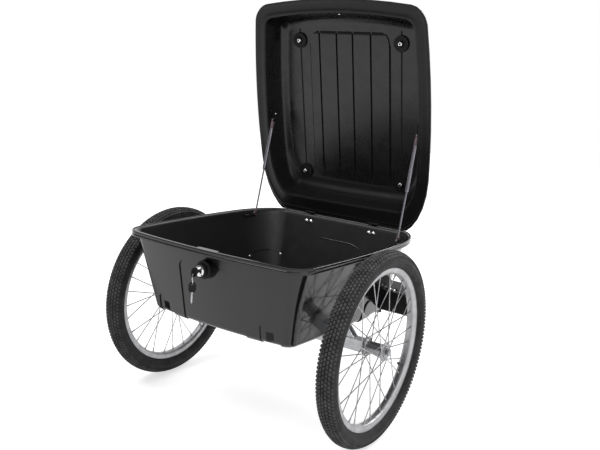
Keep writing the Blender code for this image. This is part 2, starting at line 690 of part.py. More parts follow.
def make_frame(silver, steel, black, rubber):
    """Axle beam with its end blocks and gussets, axles, drawbar and fittings."""
    beam = square_tube(TUBE_HALF, TUBE_WALL, "X", -CROSS_HALF, CROSS_HALF, (0.0, AXLE_Z))
    for side in (-1.0, 1.0):
        half = TUBE_HALF - TUBE_WALL + 0.5
        a = side * 280.0
        b = side * (CROSS_HALF - 1.0)
        block = box(min(a, b), max(a, b), -half, half, AXLE_Z - half, AXLE_Z + half)
        hole = turned([(AXLE_R + GAP, side * 270.0), (AXLE_R + GAP, side * 330.0)], (0.0, 0.0, AXLE_Z), "X", 16)
        beam = boolean(beam, boolean(block, hole, "DIFFERENCE"), "UNION")
        for y in (-12.0, 8.0):
            beam = boolean(beam, gusset(side, y), "UNION")
    piece("axle_beam", [beam], silver)
    for side, word in ((-1.0, "left"), (1.0, "right")):
        profile = [(AXLE_R - 1.5, side * 282.0), (AXLE_R, side * 284.0), (AXLE_R, side * 379.3)]
        profile += [(9.0, side * 379.3), (9.0, side * 383.0), (5.0, side * 385.0)]
        piece("wheel_axle_" + word, [turned(profile, (0.0, 0.0, AXLE_Z), "X", 16)], steel, smooth=35)
    spot = (DRAWBAR_X, AXLE_Z)
    piece("drawbar", [square_tube(TUBE_HALF, TUBE_WALL, "Y", TUBE_HALF + GAP, DRAWBAR_END, spot)], silver)
    make_stand(silver, steel, rubber)
    make_coupling(steel, black)


def make_stand(silver, steel, rubber):
    """Fold-up stand under the front of the drawbar."""
    x = DRAWBAR_X
    low = AXLE_Z - TUBE_HALF
    cheeks = []
    for side in (-1.0, 1.0):
        a = x + side * 11.0
        b = x + side * 13.5
        outline = [(STAND_Y - 22.0, low - GAP), (STAND_Y + 22.0, low - GAP), (STAND_Y + 12.0, STAND_Z - 11.0),
                   (STAND_Y - 12.0, STAND_Z - 11.0)]
        cheeks.append(prism(outline, "X", min(a, b), max(a, b)))
    bridge = box(x - 12.0, x + 12.0, STAND_Y - 20.0, STAND_Y + 20.0, low - GAP - 2.5, low - GAP)
    solid = boolean(boolean(bridge, cheeks[0], "UNION"), cheeks[1], "UNION")
    stop = box(x - 11.5, x + 11.5, STAND_Y + 12.4, STAND_Y + 15.0, STAND_Z + 4.0, low - GAP - 1.0)
    solid = boolean(solid, stop, "UNION")
    pin = turned([(6.5, x - 16.5), (6.5, x - 13.0), (4.0, x - 13.0), (4.0, x + 13.0), (6.5, x + 13.0),
                  (6.5, x + 16.5)], (0.0, STAND_Y, STAND_Z), "X", 12)
    piece("stand_bracket", [boolean(solid, pin, "UNION")], steel, smooth=35)
    top = Vector((x, STAND_Y, STAND_Z))
    toe = Vector((x, STAND_Y + STAND_TOE, 0.0))
    way = (toe - top).normalized()
    leg = rod(top - way * 9.0, top + way * 199.5, ((0.0, 9.5), (1.0, 9.5)), 14)
    hole = turned([(4.3, x - 20.0), (4.3, x + 20.0)], (0.0, STAND_Y, STAND_Z), "X", 12)
    piece("stand_leg", [boolean(leg, hole, "DIFFERENCE")], silver, tuple(top), 35)
    foot = turned([(15.0, 0.0), (15.0, 5.0), (12.5, 12.0), (11.5, 18.0)], (toe.x, toe.y, 0.0), "Z", 16)
    piece("stand_foot", [foot], rubber, tuple(top), 35)


def make_coupling(steel, black):
    """Swivel coupling at the end of the drawbar."""
    x = DRAWBAR_X
    inner = TUBE_HALF - TUBE_WALL - GAP
    plug = box(x - inner, x + inner, DRAWBAR_END - 40.0, DRAWBAR_END + 6.0, AXLE_Z - inner, AXLE_Z + inner)
    end = YAW_Y + 11.0
    top = box(x - inner, x + inner, DRAWBAR_END + 3.0, end, AXLE_Z + inner - 3.4, AXLE_Z + inner)
    base = box(x - inner, x + inner, DRAWBAR_END + 3.0, end, AXLE_Z - inner, AXLE_Z - inner + 3.4)
    fork = boolean(boolean(plug, top, "UNION"), base, "UNION")
    bore = turned([(4.3, AXLE_Z - 30.0), (4.3, AXLE_Z + 30.0)], (x, YAW_Y, 0.0), "Z", 12)
    pin = turned([(7.0, -inner - 3.3), (7.0, -inner + 0.5), (4.0, -inner + 0.5), (4.0, inner - 0.5),
                  (7.0, inner - 0.5), (7.0, inner + 3.3)], (x, YAW_Y, AXLE_Z), "Z", 12)
    piece("coupling_fork", [boolean(fork, pin, "UNION")], steel, smooth=35)
    half = inner - 3.4 - 0.5
    block = box(x - 8.0, x + 8.0, YAW_Y - 9.0, PITCH_Y + 8.0, AXLE_Z - half, AXLE_Z + half)
    block = boolean(block, bore, "DIFFERENCE")
    cross = turned([(4.3, x - 30.0), (4.3, x + 30.0)], (0.0, PITCH_Y, AXLE_Z), "X", 12)
    piece("swivel_block", [boolean(block, cross, "DIFFERENCE")], black, (x, YAW_Y, AXLE_Z), 35)
    pin = turned([(7.0, x - 15.6), (7.0, x - 11.5), (4.0, x - 11.5), (4.0, x + 11.5), (7.0, x + 11.5),
                  (7.0, x + 15.6)], (0.0, PITCH_Y, AXLE_Z), "X", 12)
    head = box(x - 12.0, x + 12.0, PITCH_Y + 13.0, PITCH_Y + 34.0, AXLE_Z - 12.0, AXLE_Z + 12.0)
    for side in (-1.0, 1.0):
        a = x + side * 8.5
        b = x + side * 12.0
        cheek = box(min(a, b), max(a, b), PITCH_Y - 9.0, PITCH_Y + 14.0, AXLE_Z - 10.0, AXLE_Z + 10.0)
        head = boolean(head, cheek, "UNION")
    head = boolean(head, pin, "UNION")
    plate = box(x - 12.0, x - 7.0, PITCH_Y + 33.0, PITCH_Y + 66.0, AXLE_Z - 12.0, AXLE_Z + 12.0)
    head = boolean(head, plate, "UNION")
    hole = turned([(5.2, x - 30.0), (5.2, x + 30.0)], (0.0, PITCH_Y + 52.0, AXLE_Z), "X", 16)
    head = boolean(head, hole, "DIFFERENCE")
    piece("hitch_plate", [head], steel, (x, PITCH_Y, AXLE_Z), 35)


def make_bumpers(black):
    """Moulded guards on the front lower corners, with their bolt heads."""
    for side, word in ((-1.0, "left"), (1.0, "right")):
        outer = [(190.0, 236.0), (318.0, 236.0), (318.0, 262.0), (302.0, 318.0), (262.0, 346.0), (226.0, 352.0)]
        body = prism([(side * x, y) for x, y in outer + [(190.0, 352.0)]], "Z", 276.0, 334.0)
        body = boolean(body, grown_tub(GAP), "DIFFERENCE")
        for y in (248.0, 264.0):
            head = turned([(5.0, 333.5), (5.0, 336.6), (2.8, 338.4)], (side * 260.0, y, 0.0), "Z", 8)
            body = boolean(body, head, "UNION")
        piece("corner_guard_" + word, [body], black, smooth=30)


# Wheels

def tyre_solid(x):
    """Hollow tyre with a band of raised tread blocks."""
    base = TYRE_R - TREAD_DEEP
    half = [(base, 0.0), (base - 1.6, 10.0), (base - 6.5, 18.0), (base - 15.0, 23.4), (224.0, TYRE_HALF)]
    half += [(209.9, 9.6), (203.7, 9.5), (204.0, 6.4), (224.0, 20.5), (242.0, 13.0)]
    profile = half + [(245.0, 0.0)] + [(r, -w) for r, w in half[:0:-1]]
    return turned(profile, (x, 0.0, AXLE_Z), "X", WHEEL_N, hollow=True)


def tread(mesh, x):
    """Raise every other crown face and each shoulder face."""
    shape = bmesh.new()
    shape.from_mesh(mesh)
    base = (TYRE_R - TREAD_DEEP) * MM
    chosen = []
    for face in shape.faces:
        spot = face.calc_center_median()
        radius = math.hypot(spot.y, spot.z)
        across = spot.x / MM
        if radius < base - 0.006 or face.normal.dot(Vector((0.0, spot.y, spot.z))) < 0.0:
            continue
        turn = math.atan2(spot.z, spot.y) / (2.0 * math.pi) * WHEEL_N
        step = int(math.floor(turn)) % 2
        crown = abs(across) < 9.0
        if (step == 0) == ((across > 0.0) == crown):
            chosen.append(face)
    bmesh.ops.inset_individual(shape, faces=chosen, thickness=0.0018, depth=TREAD_DEEP * MM * 0.99)
    shape.to_mesh(mesh)
    shape.free()
    mesh.update()


def make_rim(x, look, word):
    """Single-wall rim with two flanges."""
    w = RIM_WIDE
    profile = [(RIM_R, w), (197.0, w - 0.5), (192.5, 5.5), (192.5, -5.5), (197.0, -w + 0.5), (RIM_R, -w)]
    profile += [(RIM_R, -w + 2.6), (203.0, -w + 2.9), (196.0, -4.5), (196.0, 4.5), (203.0, w - 2.9), (RIM_R, w - 2.6)]
    solid = turned(profile, (x, 0.0, AXLE_Z), "X", WHEEL_N, hollow=True)
    piece("rim_" + word, [solid], look, (x, 0.0, AXLE_Z), 40)


def spoke_line(x, k):
    """Start in the hub flange and end at the rim of one spoke."""
    per_side = SPOKES // 2
    flange = 1.0 if k % 2 == 0 else -1.0
    lead = 1.0 if (k // 2) % 2 == 0 else -1.0
    rim_turn = 2.0 * math.pi * (k + 0.25) / SPOKES
    hub_turn = rim_turn + lead * math.radians(360.0 / per_side * 2.6)
    face = flange * (HUB_FLANGE_X + lead * 1.47)
    start = Vector((x + face, SPOKE_HOLE_R * math.cos(hub_turn), AXLE_Z + SPOKE_HOLE_R * math.sin(hub_turn)))
    reach = Vector((0.0, math.cos(rim_turn), math.sin(rim_turn)))
    end = Vector((x + flange * 2.0, 0.0, AXLE_Z)) + reach * RIM_INNER
    return start, end


def make_hub(x, look, steel, word):
    """Hub shell laced with crossed spokes and nipples, and its bearing."""
    f = HUB_FLANGE_X
    bore = AXLE_R + 3.0
    profile = [(bore, -31.0), (bore + 6.5, -31.0), (bore + 7.5, -f - 1.5), (HUB_FLANGE_R, -f - 1.5)]
    profile += [(HUB_FLANGE_R, -f + 1.5), (HUB_SHELL_R + 2.5, -f + 1.5), (HUB_SHELL_R, -f + 8.0)]
    profile += [(HUB_SHELL_R, f - 8.0), (HUB_SHELL_R + 2.5, f - 1.5), (HUB_FLANGE_R, f - 1.5), (HUB_FLANGE_R, f + 1.5)]
    profile += [(bore + 7.5, f + 1.5), (bore + 6.5, 31.0), (bore, 31.0)]
    centre = (x, 0.0, AXLE_Z)
    body = turned(profile, centre, "X", 16, hollow=True)
    for k in range(SPOKES):
        start, end = spoke_line(x, k)
        length = (end - start).length
        neck = 1.0 - NIPPLE_L / length
        steps = ((0.0, SPOKE_R), (neck, SPOKE_R), (1.0, NIPPLE_R))
        body = boolean(body, rod(start, end, steps, 4), "UNION")
    piece("spoked_hub_" + word, [body], look, centre, 35)
    ring = [(AXLE_R + GAP, -30.5), (bore - GAP, -30.5), (bore - GAP, 30.5), (AXLE_R + GAP, 30.5)]
    piece("bearing_" + word, [turned(ring, centre, "X", 16, hollow=True)], steel, centre, 35)


def make_valve(x, look, word):
    """Valve stem at the rim, and its cap."""
    centre = Vector((x, 0.0, AXLE_Z))
    turn = math.radians(331.0)
    reach = Vector((0.0, math.cos(turn), math.sin(turn)))
    steps = ((0.0, 3.0), (0.58, 3.0), (0.6, 4.0), (0.92, 4.0), (1.0, 2.6))
    stem = rod(centre + reach * RIM_INNER, centre + reach * 160.0, steps, 8)
    piece("valve_" + word, [stem], look, tuple(centre), 40)


def make_wheel(side, word, looks):
    """One wheel with tyre, rim, spokes, hub and valve."""
    rubber, alloy, bearing, black = looks
    x = side * WHEEL_X
    centre = (x, 0.0, AXLE_Z)
    tyre = piece("tyre_" + word, [tyre_solid(x)], rubber, centre)
    tread(tyre.data, x)
    tyre.data.shade_smooth()
    tyre.data.set_sharp_from_angle(angle=math.radians(38))
    make_rim(x, alloy, word)
    make_hub(x, alloy, bearing, word)
    make_valve(x, black, word)


def main():
    """Whole trailer."""
    plastic = material("tub_plastic", (70, 71, 73), 0.42, 0.0)
    lid_plastic = material("lid_plastic", (58, 59, 61), 0.38, 0.0)
    black = material("black_plastic", (38, 38, 40), 0.5, 0.0)
    rubber = material("rubber", (60, 60, 62), 0.8, 0.0)
    alloy = material("polished_alloy", (205, 206, 208), 0.28, 1.0)
    frame = material("frame_aluminium", (190, 191, 193), 0.4, 1.0)
    steel = material("zinc_steel", (175, 176, 178), 0.35, 1.0)
    chrome = material("chrome", (225, 225, 228), 0.12, 1.0)
    socket = material("socket_plastic", (74, 52, 58), 0.5, 0.0)
    make_tub(plastic)
    make_lid(lid_plastic)
    make_rails(black, black)
    make_hinges(black, chrome)
    for side, word in ((-1.0, "left"), (1.0, "right")):
        make_strut(side, word, (alloy, steel, socket, chrome))
    make_lock(black, chrome, steel, black)
    make_frame(frame, steel, black, rubber)
    make_bumpers(black)
    for side, word in ((-1.0, "left"), (1.0, "right")):
        make_wheel(side, word, (rubber, alloy, steel, black))
    bpy.context.view_layer.update()


main()
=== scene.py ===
"""Bike cargo trailer: finishes, wheels in full detail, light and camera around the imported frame."""

import math

import bmesh
import bpy
from mathutils import Matrix, Vector
from mathutils.bvhtree import BVHTree


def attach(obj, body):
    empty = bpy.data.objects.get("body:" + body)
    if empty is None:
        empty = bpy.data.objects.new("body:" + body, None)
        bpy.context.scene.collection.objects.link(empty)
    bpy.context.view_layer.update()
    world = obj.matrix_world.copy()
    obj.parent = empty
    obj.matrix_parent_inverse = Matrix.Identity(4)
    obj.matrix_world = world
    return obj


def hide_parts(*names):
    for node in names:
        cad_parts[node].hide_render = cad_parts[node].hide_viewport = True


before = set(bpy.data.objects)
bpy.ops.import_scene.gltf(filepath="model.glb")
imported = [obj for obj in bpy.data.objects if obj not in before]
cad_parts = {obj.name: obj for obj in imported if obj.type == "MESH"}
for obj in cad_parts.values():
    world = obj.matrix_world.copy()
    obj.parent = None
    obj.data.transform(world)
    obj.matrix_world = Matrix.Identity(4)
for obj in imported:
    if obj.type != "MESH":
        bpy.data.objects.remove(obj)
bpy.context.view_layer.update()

MM = 0.001

# Camera of the photograph

CAMERA_PLACE = (1.112, -1.561, 0.884)
CAMERA_AZIMUTH = math.radians(33.2)
CAMERA_ELEVATION = math.radians(10.9)
CAMERA_ROLL = math.radians(4.39)
LENS_MM = 43.56
SENSOR_MM = 36.0

# Tyres, in millimetres

AXLE_Z = 252.0
WHEEL_X = 345.0
CROWN_R = 248.8
CROWN_ROUND_R = 34.0
CROWN_WIDTHS = (0.0, 4.0, 8.0, 12.0, 16.0, 19.5)
CASING_STEPS = 252
# Sidewall from the crown to the bead: radius and distance from the middle
SIDEWALL = ((236.4, 22.4), (231.0, 23.9), (226.6, 24.4), (225.4, 24.4), (224.6, 23.6), (219.0, 22.2),
            (216.4, 20.6), (215.6, 20.9), (214.2, 19.8), (211.8, 16.0), (209.6, 12.4), (205.0, 9.6),
            (205.0, 5.0))
BLOCK_PITCHES = 150
BLOCK_ROOT = 0.8
BLOCK_CHAMFER = 0.5
# Rows of tread blocks: place across, stagger in pitches, length, width, skew and height
TREAD_ROWS = ((0.0, 0.0, 8.2, 5.6, 0.0, 3.0), (7.4, 0.5, 8.2, 5.6, 1.0, 3.0), (14.6, 0.0, 8.0, 5.8, 1.0, 2.4),
              (21.0, 0.5, 7.4, 4.8, 0.3, 1.6))

# Rims, spokes and hubs, in millimetres

RIM_R = 209.5
RIM_HALF = 13.0
RIM_INNER_R = 192.6
RIM_STEPS = 160
SPOKES = 28
SPOKE_R = 1.35
SPOKE_HOLE_R = 21.0
SPOKE_SIDES = 8
# Shift of the first rim hole and lead of a crossed spoke, both in pitches of holes
RIM_HOLE_SHIFT = 0.25
SPOKE_LEAD = 2.6
SPOKE_OFF_FLANGE = 1.9
SPOKE_OFF_MIDDLE = 2.0
ELBOW_IN = 0.8
ELBOW_OUT = 4.6
# Share of the length and radius
SPOKE_HEAD = ((0.0, SPOKE_R), (0.75, SPOKE_R), (0.76, 1.9), (1.0, 1.5))
NIPPLE = ((0.0, 1.5), (0.12, 1.9), (0.6, 1.9), (0.7, 2.5), (1.0, 2.7))
NIPPLE_L = 13.0
HUB_FLANGE_R = 25.0
HUB_FLANGE_X = 25.5
HUB_SHELL_R = 16.0
HUB_END_X = 31.0
HUB_BORE_R = 9.0
HUB_STEPS = 64

# Lid, in millimetres: s runs up the lid from the hinge, d is the depth of the dish

HINGE_Y = 370.0
HINGE_Z = 488.0
LID_OPEN = math.radians(77.3)
LID_FLANGE_D = 2.0
PANEL_D = 74.0
RIBS = ((-134.0, -102.2), (-98.8, -42.2), (-38.8, 12.3), (15.7, 72.3), (75.7, 134.0))
RIB_HIGH = 4.0
# Rows of a rib up the field, then the closer rows near its top, its last edge and its height at the end
RIB_ROW_STEP = 30.0
RIB_ROWS = 12
RIB_TOP_FROM = 42.0
RIB_TOP_STEP = 6.0
RIB_TOP_ROWS = 6
RIB_TOP_EDGE = 9.5
RIB_TOP_LIP = 0.4
# Shoulder of a rib as shares of its slope and height, its least flat, and how deep its foot and back lie
RIB_SHOULDER = (0.35, 0.6)
RIB_FLAT_HALF = 0.1
RIB_SUNK = 0.1
RIB_BACK = 1.0
RIB_SLOPE = 1.2
# Rise of a rib from the hinge side: place and height
RIB_FOOT = ((64.0, 0.0), (84.0, 0.7), (112.0, 1.5), (150.0, RIB_HIGH))
FIELD_TOP = 556.0
FIELD_CORNER = (24.0, 40.0)
# Strips in the panel: half width, low end, high end and height over it
# The gap, edge and groove strips are painted shade: dull black laid along the rib gaps, the field's edges and
# the outer grooves
GAP_X = (-100.5, -40.5, 14.0, 74.0)
GAP_STRIP = (2.6, 70.0, FIELD_TOP - 7.0, 0.15)
EDGE_X = (-135.6, 135.6)
EDGE_STRIP = (1.5, 120.0, FIELD_TOP - 36.0, 0.15)
GROOVE_X = (-171.0, 171.0)
GROOVE_STRIP = (2.5, 108.0, 560.0, 0.12)
FILLED_X = (-141.0, 141.0)
FILLED_STRIP = (2.4, 90.0, 558.0, 0.12)
STRIP_DEEP = 1.2
# Flange section: distance from the plan, far side and depth of each line
FLANGE = ((13.2, 7.0, -0.1), (12.95, 7.1, -1.0), (12.2, 7.3, -1.3), (9.0, 8.2, -1.35), (6.0, 9.4, -1.3),
          (3.4, 11.0, -0.3), (0.0, 14.0, 0.1), (-5.0, 20.0, 0.1), (-10.0, 28.0, 0.0), (-14.0, 36.0, -0.5),
          (-17.0, 40.5, -1.3), (-20.3, 44.4, -1.5), (-22.4, 47.6, -0.8), (-23.8, 49.8, 0.7))
# Wall of the dish down to its blend: the same, then the depth at the far side
DISH_WALL = ((-23.8, 49.8, 0.7, 0.7), (-24.5, 51.5, 4.0, 4.0), (-25.0, 52.1, 6.0, 6.0),
             (-30.6, 55.3, 30.0, 20.0))
SKIN_BACK = 1.5
SKIN_EDGE = 13.0
SKIN_PROUD = 0.1
SIDE_BLEND = 26.0
SIDE_FOOT = -61.6
FAR_BLEND = 50.0
FAR_FOOT = 106.9
BLEND_STEPS = 12
BLEND_STEP_DEG = 7.0
# Gloss of the dish near the hinge, lowered as painted shade, and the heights between which the lowering ends
DISH_SHADE_GLOSS = (0.05, 575.0, 660.0)
WASHER_X = 171.0
WASHER_S = (113.0, 527.0)
WASHER_FACE = 9.6
CATCH_BOLT = (0.5, 560.0, 24.0)
STUD_S = 301.0
STUD_D = 32.0

# Struts, in millimetres: ends of a boot along the strut, and its steps as share of the length and radius

STRUT_X = 250.0
STRUT_TOP = (283.0, 14.0)
STRUT_FOOT = (258.0, 475.5)
TOP_BOOT = (3.0, 26.5)
TOP_BOOT_STEPS = ((0.0, 5.0), (0.08, 6.1), (0.86, 6.05), (1.0, 5.9), (1.0, 5.65), (0.46, 5.65), (0.46, 1.0))
FOOT_BOOT = (3.0, 14.5)
FOOT_BOOT_STEPS = ((0.0, 4.4), (0.15, 5.4), (0.75, 5.2), (1.0, 4.2))
BOOT_SIDES = 20

# Bolt heads, in millimetres: radius and height

WASHER_HEAD = (7.0, 3.0)
CATCH_HEAD = (3.4, 2.2)
STUD_HEAD = (3.6, 2.6)
TRIM_HEAD = (4.0, 2.6)
HINGE_HEAD = (6.8, 4.4)
GUARD_HEAD = (5.8, 5.0)
HEAD_SUNK = 0.2
HEAD_SIDES = 24

# Plan of the tub and the lid, in millimetres

RIM_HALF_X = 265.0
RIM_LENGTH = 614.5
RIM_FAR_Y = 364.7
SIDE_BOW = 18.0
NEAR_BOW = 21.0
FAR_BOW = 6.0
NEAR_RADIUS = 30.0
FAR_CORNER = (64.0, 154.0)
# Steps of half the ring: near edge, near corner, side, far corner, far edge
NEAR_STEPS = 10
NEAR_CORNER_STEPS = 10
SIDE_STEPS = 12
FAR_CORNER_STEPS = 18
FAR_STEPS = 6
# How much of an inset the corners follow
NEAR_CORNER_FOLLOWS = 0.2
FAR_CORNER_FOLLOWS = (0.5, 0.8)

# Tub, in millimetres

WALL = 4.0
DRAFT = math.tan(math.radians(12.6))
TUB_BOTTOM = 267.3
WALL_TOP = 470.0
WALL_LEVELS = (330.0, 380.0, 430.0, 462.0, WALL_TOP)
FLOOR_RADIUS = 18.0
FLOOR_STEPS = 7
RIM_TOP = 482.5
# Rolled rim, from the outer wall over both beads to the inner wall: distance from the plan and height
RIM_SECTION = ((-3.3, 474.0), (-1.6, 477.4), (1.2, 478.5), (7.6, 478.5), (9.0, 477.6), (9.5, 475.6),
               (9.5, 471.0), (10.2, 469.4), (11.4, 468.9), (12.4, 469.6), (13.0, 471.4), (13.0, 474.2),
               (12.2, 475.8), (11.6, 476.6), (12.2, 477.4), (13.0, 479.0), (13.0, 481.6), (12.4, 483.4),
               (11.2, 484.3), (9.8, 484.5), (8.4, 484.2), (7.2, 483.2), (6.2, RIM_TOP), (1.2, RIM_TOP),
               (-1.6, 481.9), (-3.8, 480.4), (-5.6, 477.8), (-6.9, 474.5))
TUB_MIDDLE = (0.0, 60.0, 440.0)
RECESS = 2.5
PAD_PROUD = 3.5
# Panels: half width below and above, top and corner radius
MIDDLE_PANEL = (101.0, 96.0, 440.0, 24.0)
STRAP_PANEL = (29.0, 26.0, 320.0, 12.0)
WHEEL_PAD = (24.0, 21.0, 326.0, 17.0)
WHEEL_PAD_Y = 137.0
PANEL_FOOT = TUB_BOTTOM - 10.0
NEAR_CUT = (-320.0, -150.0)
SIDE_CUT = (200.0, 320.0)
SLOT_X = 168.0
SLOT_HALF = 10.5
SLOT_LOW = 264.0
SLOT_HIGH = 302.0
SLOT_CUT = (-300.0, -206.0)
LEDGE_HALF = 31.5
LEDGE_DEEP = 13.0
LEDGE_SUNK = 1.0
LEDGE_Z = (476.0, 480.0)
HINGE_X = 113.0
# Room for a hinge leaf in the far rim: place across and height
HINGE_NOTCH = ((-18.4, 460.0), (18.4, 460.0), (18.4, 482.3), (9.8, 482.3), (9.8, 500.0), (-9.8, 500.0),
               (-9.8, 482.3), (-18.4, 482.3))
HINGE_NOTCH_CUT = (372.3, 400.0)
HINGE_BOLT_Z = 460.0
HINGE_BOLT_SHIFTS = (-8.0, 8.0)
HINGE_BOLT_ASIDE = (0.9, 6.0)
GUARD_BOLTS = ((244.0, 254.0), (259.5, 248.0))
GUARD_BOLT_Z = 333.9
# Arched bead inside the left wall, between two bolts
TRIM_ENDS = ((-235.0, 229.0), (-197.0, 340.0))
TRIM_Z = 342.0
TRIM_RISE = 13.0
TRIM_FROM = (-150.0, 230.0)
TRIM_STEPS = 12
TRIM_BEAD_R = 1.2
# Bead on the far wall, straight and then bending down: place across and height
FAR_BEAD = tuple((-72.0 + 14.0 * k, 417.0) for k in range(9)) + ((54.0, 415.8), (67.0, 412.6), (80.0, 407.6),
                                                                (92.0, 401.0))
FAR_BEAD_R = 1.6
BEAD_STEPS = 6
BEAD_WIDE = 1.6
BEAD_SUNK = 0.1

# Lock and keys, in millimetres: spans run across the near face, steps are share and radius

LOCK_X = 3.0
LOCK_Z = 432.0
LOCK_HOLE_R = 16.0
LOCK_HOLE_CUT = (-300.0, -240.0)
LOCK_SIDES = 40
SEAT_SPAN = (-9.2, 4.0)
SEAT_STEPS = ((0.0, 15.9), (0.02, 21.4), (0.5, 22.0), (1.0, 24.0))
RING_OUT = 28.4
RING_DEEP = 1.5
RING_STEPS = ((0.0, 13.6), (0.5, 13.6), (1.0, 12.4))
KEY_OUT = 51.3
KEY_EYE_LOW = 28.0
KEY_TURN = math.radians(45.0)
# Outline of the spare key's blade: place across and height against the ring
BLADE = ((-2.6, -20.0), (2.6, -20.0), (1.5, -29.0), (2.2, -34.0), (1.4, -38.0), (2.0, -44.0), (0.0, -48.4),
         (-2.6, -44.0))
BLADE_HALF = 1.15

# Studio, in metres

STUDIO_MIDDLE = (0.0, 0.05, 0.45)
# Name, place, size and power in watts
SOFT_BOXES = (
    ("key_box", (-1.2, -1.9, 3.4), (2.0, 1.8), 66.0),
    ("side_box", (2.9, -0.6, 2.3), (1.8, 1.6), 19.0),
    ("back_box", (0.95, 2.7, 2.4), (2.2, 1.0), 56.0),
)
DARK_SIDE = (-0.526, -0.810, 0.259)
DARK_LEVEL = 0.22
WORLD_AS_LIGHT = 0.42
FLOOR_HALF = 9.0
FLOOR_Z = -0.0006


# Colours and nodes

def hex_colour(text):
    """Linear colour of an sRGB hex value."""
    parts = [int(text[k:k + 2], 16) / 255.0 for k in (1, 3, 5)]
    linear = [c / 12.92 if c <= 0.04045 else ((c + 0.055) / 1.055) ** 2.4 for c in parts]
    return (*linear, 1.0)


def add_node(tree, kind, inputs, **settings):
    """Add a node; an input is a value, or another node's output to link."""
    node = tree.nodes.new("ShaderNode" + kind)
    for name, value in settings.items():
        setattr(node, name, value)
    for socket, value in inputs.items():
        if isinstance(value, bpy.types.NodeSocket):
            tree.links.new(value, node.inputs[socket])
        else:
            node.inputs[socket].default_value = value
    return node


def new_material(name):
    """Empty material with its shader and the object's own coordinates."""
    made = bpy.data.materials.new(name)
    made.use_nodes = True
    tree = made.node_tree
    shader = tree.nodes["Principled BSDF"]
    place = add_node(tree, "TexCoord", {}).outputs["Object"]
    return made, tree, shader, place


def noise(tree, place, size_mm, detail=2.0):
    """Cloudy pattern whose features are about size_mm across."""
    made = add_node(tree, "TexNoise", {"Vector": place, "Scale": 1.0 / (size_mm * MM), "Detail": detail})
    return made.outputs["Fac"]


def shades(tree, factor, dark, light, low=0.35, high=0.65):
    """Colour between two hex values, steered by a pattern."""
    ramp = add_node(tree, "ValToRGB", {"Fac": factor})
    first, last = ramp.color_ramp.elements
    first.position = low
    last.position = high
    first.color = hex_colour(dark)
    last.color = hex_colour(light)
    return ramp.outputs["Color"]


def mapped(tree, value, start, end, to_start, to_end):
    """Number that runs from to_start to to_end while value runs from start to end."""
    ends = {"Value": value, "From Min": start, "From Max": end, "To Min": to_start, "To Max": to_end}
    return add_node(tree, "MapRange", ends).outputs["Result"]


def spread(tree, factor, low, high):
    """Number between low and high, steered by a pattern."""
    return mapped(tree, factor, 0.3, 0.7, low, high)


def bumped(tree, height, deep_mm):
    """Normal of a surface that a pattern lifts by deep_mm."""
    made = add_node(tree, "Bump", {"Height": height, "Distance": deep_mm * MM, "Strength": 1.0})
    return made.outputs["Normal"]


def moulded_plastic(name, dark, light, rough, grain_mm, grain_deep_mm, gloss=0.5, shade_gloss=None):
    """Moulded polymer with fine grain; the last argument is a low gloss below a height, for painted shade,
    and the heights in mm between which it ends.
    """
    made, tree, shader, place = new_material(name)
    cloud = noise(tree, place, 38.0, 3.0)
    grain = noise(tree, place, grain_mm, 3.0)
    tree.links.new(shades(tree, grain, dark, light, 0.3, 0.7), shader.inputs["Base Color"])
    tree.links.new(spread(tree, cloud, rough - 0.05, rough + 0.05), shader.inputs["Roughness"])
    tree.links.new(bumped(tree, grain, grain_deep_mm), shader.inputs["Normal"])
    shader.inputs["IOR"].default_value = 1.54
    shader.inputs["Specular IOR Level"].default_value = gloss
    if shade_gloss is not None:
        low_gloss, low_mm, high_mm = shade_gloss
        height = add_node(tree, "SeparateXYZ", {"Vector": place}).outputs["Z"]
        level = mapped(tree, height, low_mm * MM, high_mm * MM, low_gloss, gloss)
        tree.links.new(level, shader.inputs["Specular IOR Level"])
    return made


def grain_near_face(made, rough):
    """Roughen what faces the lock's side, and leave the sides polished."""
    tree = made.node_tree
    shader = tree.nodes["Principled BSDF"]
    facing = add_node(tree, "TexCoord", {}).outputs["Normal"]
    toward = add_node(tree, "SeparateXYZ", {"Vector": facing}).outputs["Y"]
    level = mapped(tree, toward, -0.95, -0.6, rough, 0.0)
    polished = shader.inputs["Roughness"].links[0].from_socket
    both = add_node(tree, "Math", {0: polished, 1: level}, operation="MAXIMUM")
    tree.links.new(both.outputs[0], shader.inputs["Roughness"])
    return made


def tyre_rubber(name, dark, light, rough):
    """Vulcanised rubber: dull black with a greyish bloom and a sandy skin."""
    made, tree, shader, place = new_material(name)
    bloom = noise(tree, place, 22.0, 4.0)
    sand = noise(tree, place, 1.6, 2.0)
    tree.links.new(shades(tree, bloom, dark, light), shader.inputs["Base Color"])
    tree.links.new(spread(tree, sand, rough - 0.08, rough + 0.08), shader.inputs["Roughness"])
    tree.links.new(bumped(tree, sand, 0.12), shader.inputs["Normal"])
    shader.inputs["IOR"].default_value = 1.52
    shader.inputs["Specular IOR Level"].default_value = 0.22
    return made


def bright_metal(name, dark, light, rough, line_mm, stretch=(1.0, 1.0, 1.0), deep_mm=0.01):
    """Bare or plated metal with the fine marks of drawing, turning or polishing."""
    made, tree, shader, place = new_material(name)
    drawn = add_node(tree, "Mapping", {"Vector": place, "Scale": stretch}).outputs["Vector"]
    lines = noise(tree, drawn, line_mm, 2.0)
    cloud = noise(tree, place, 30.0, 2.0)
    tree.links.new(shades(tree, cloud, dark, light), shader.inputs["Base Color"])
    tree.links.new(spread(tree, lines, rough - 0.05, rough + 0.06), shader.inputs["Roughness"])
    tree.links.new(bumped(tree, lines, deep_mm), shader.inputs["Normal"])
    shader.inputs["Metallic"].default_value = 1.0
    return made


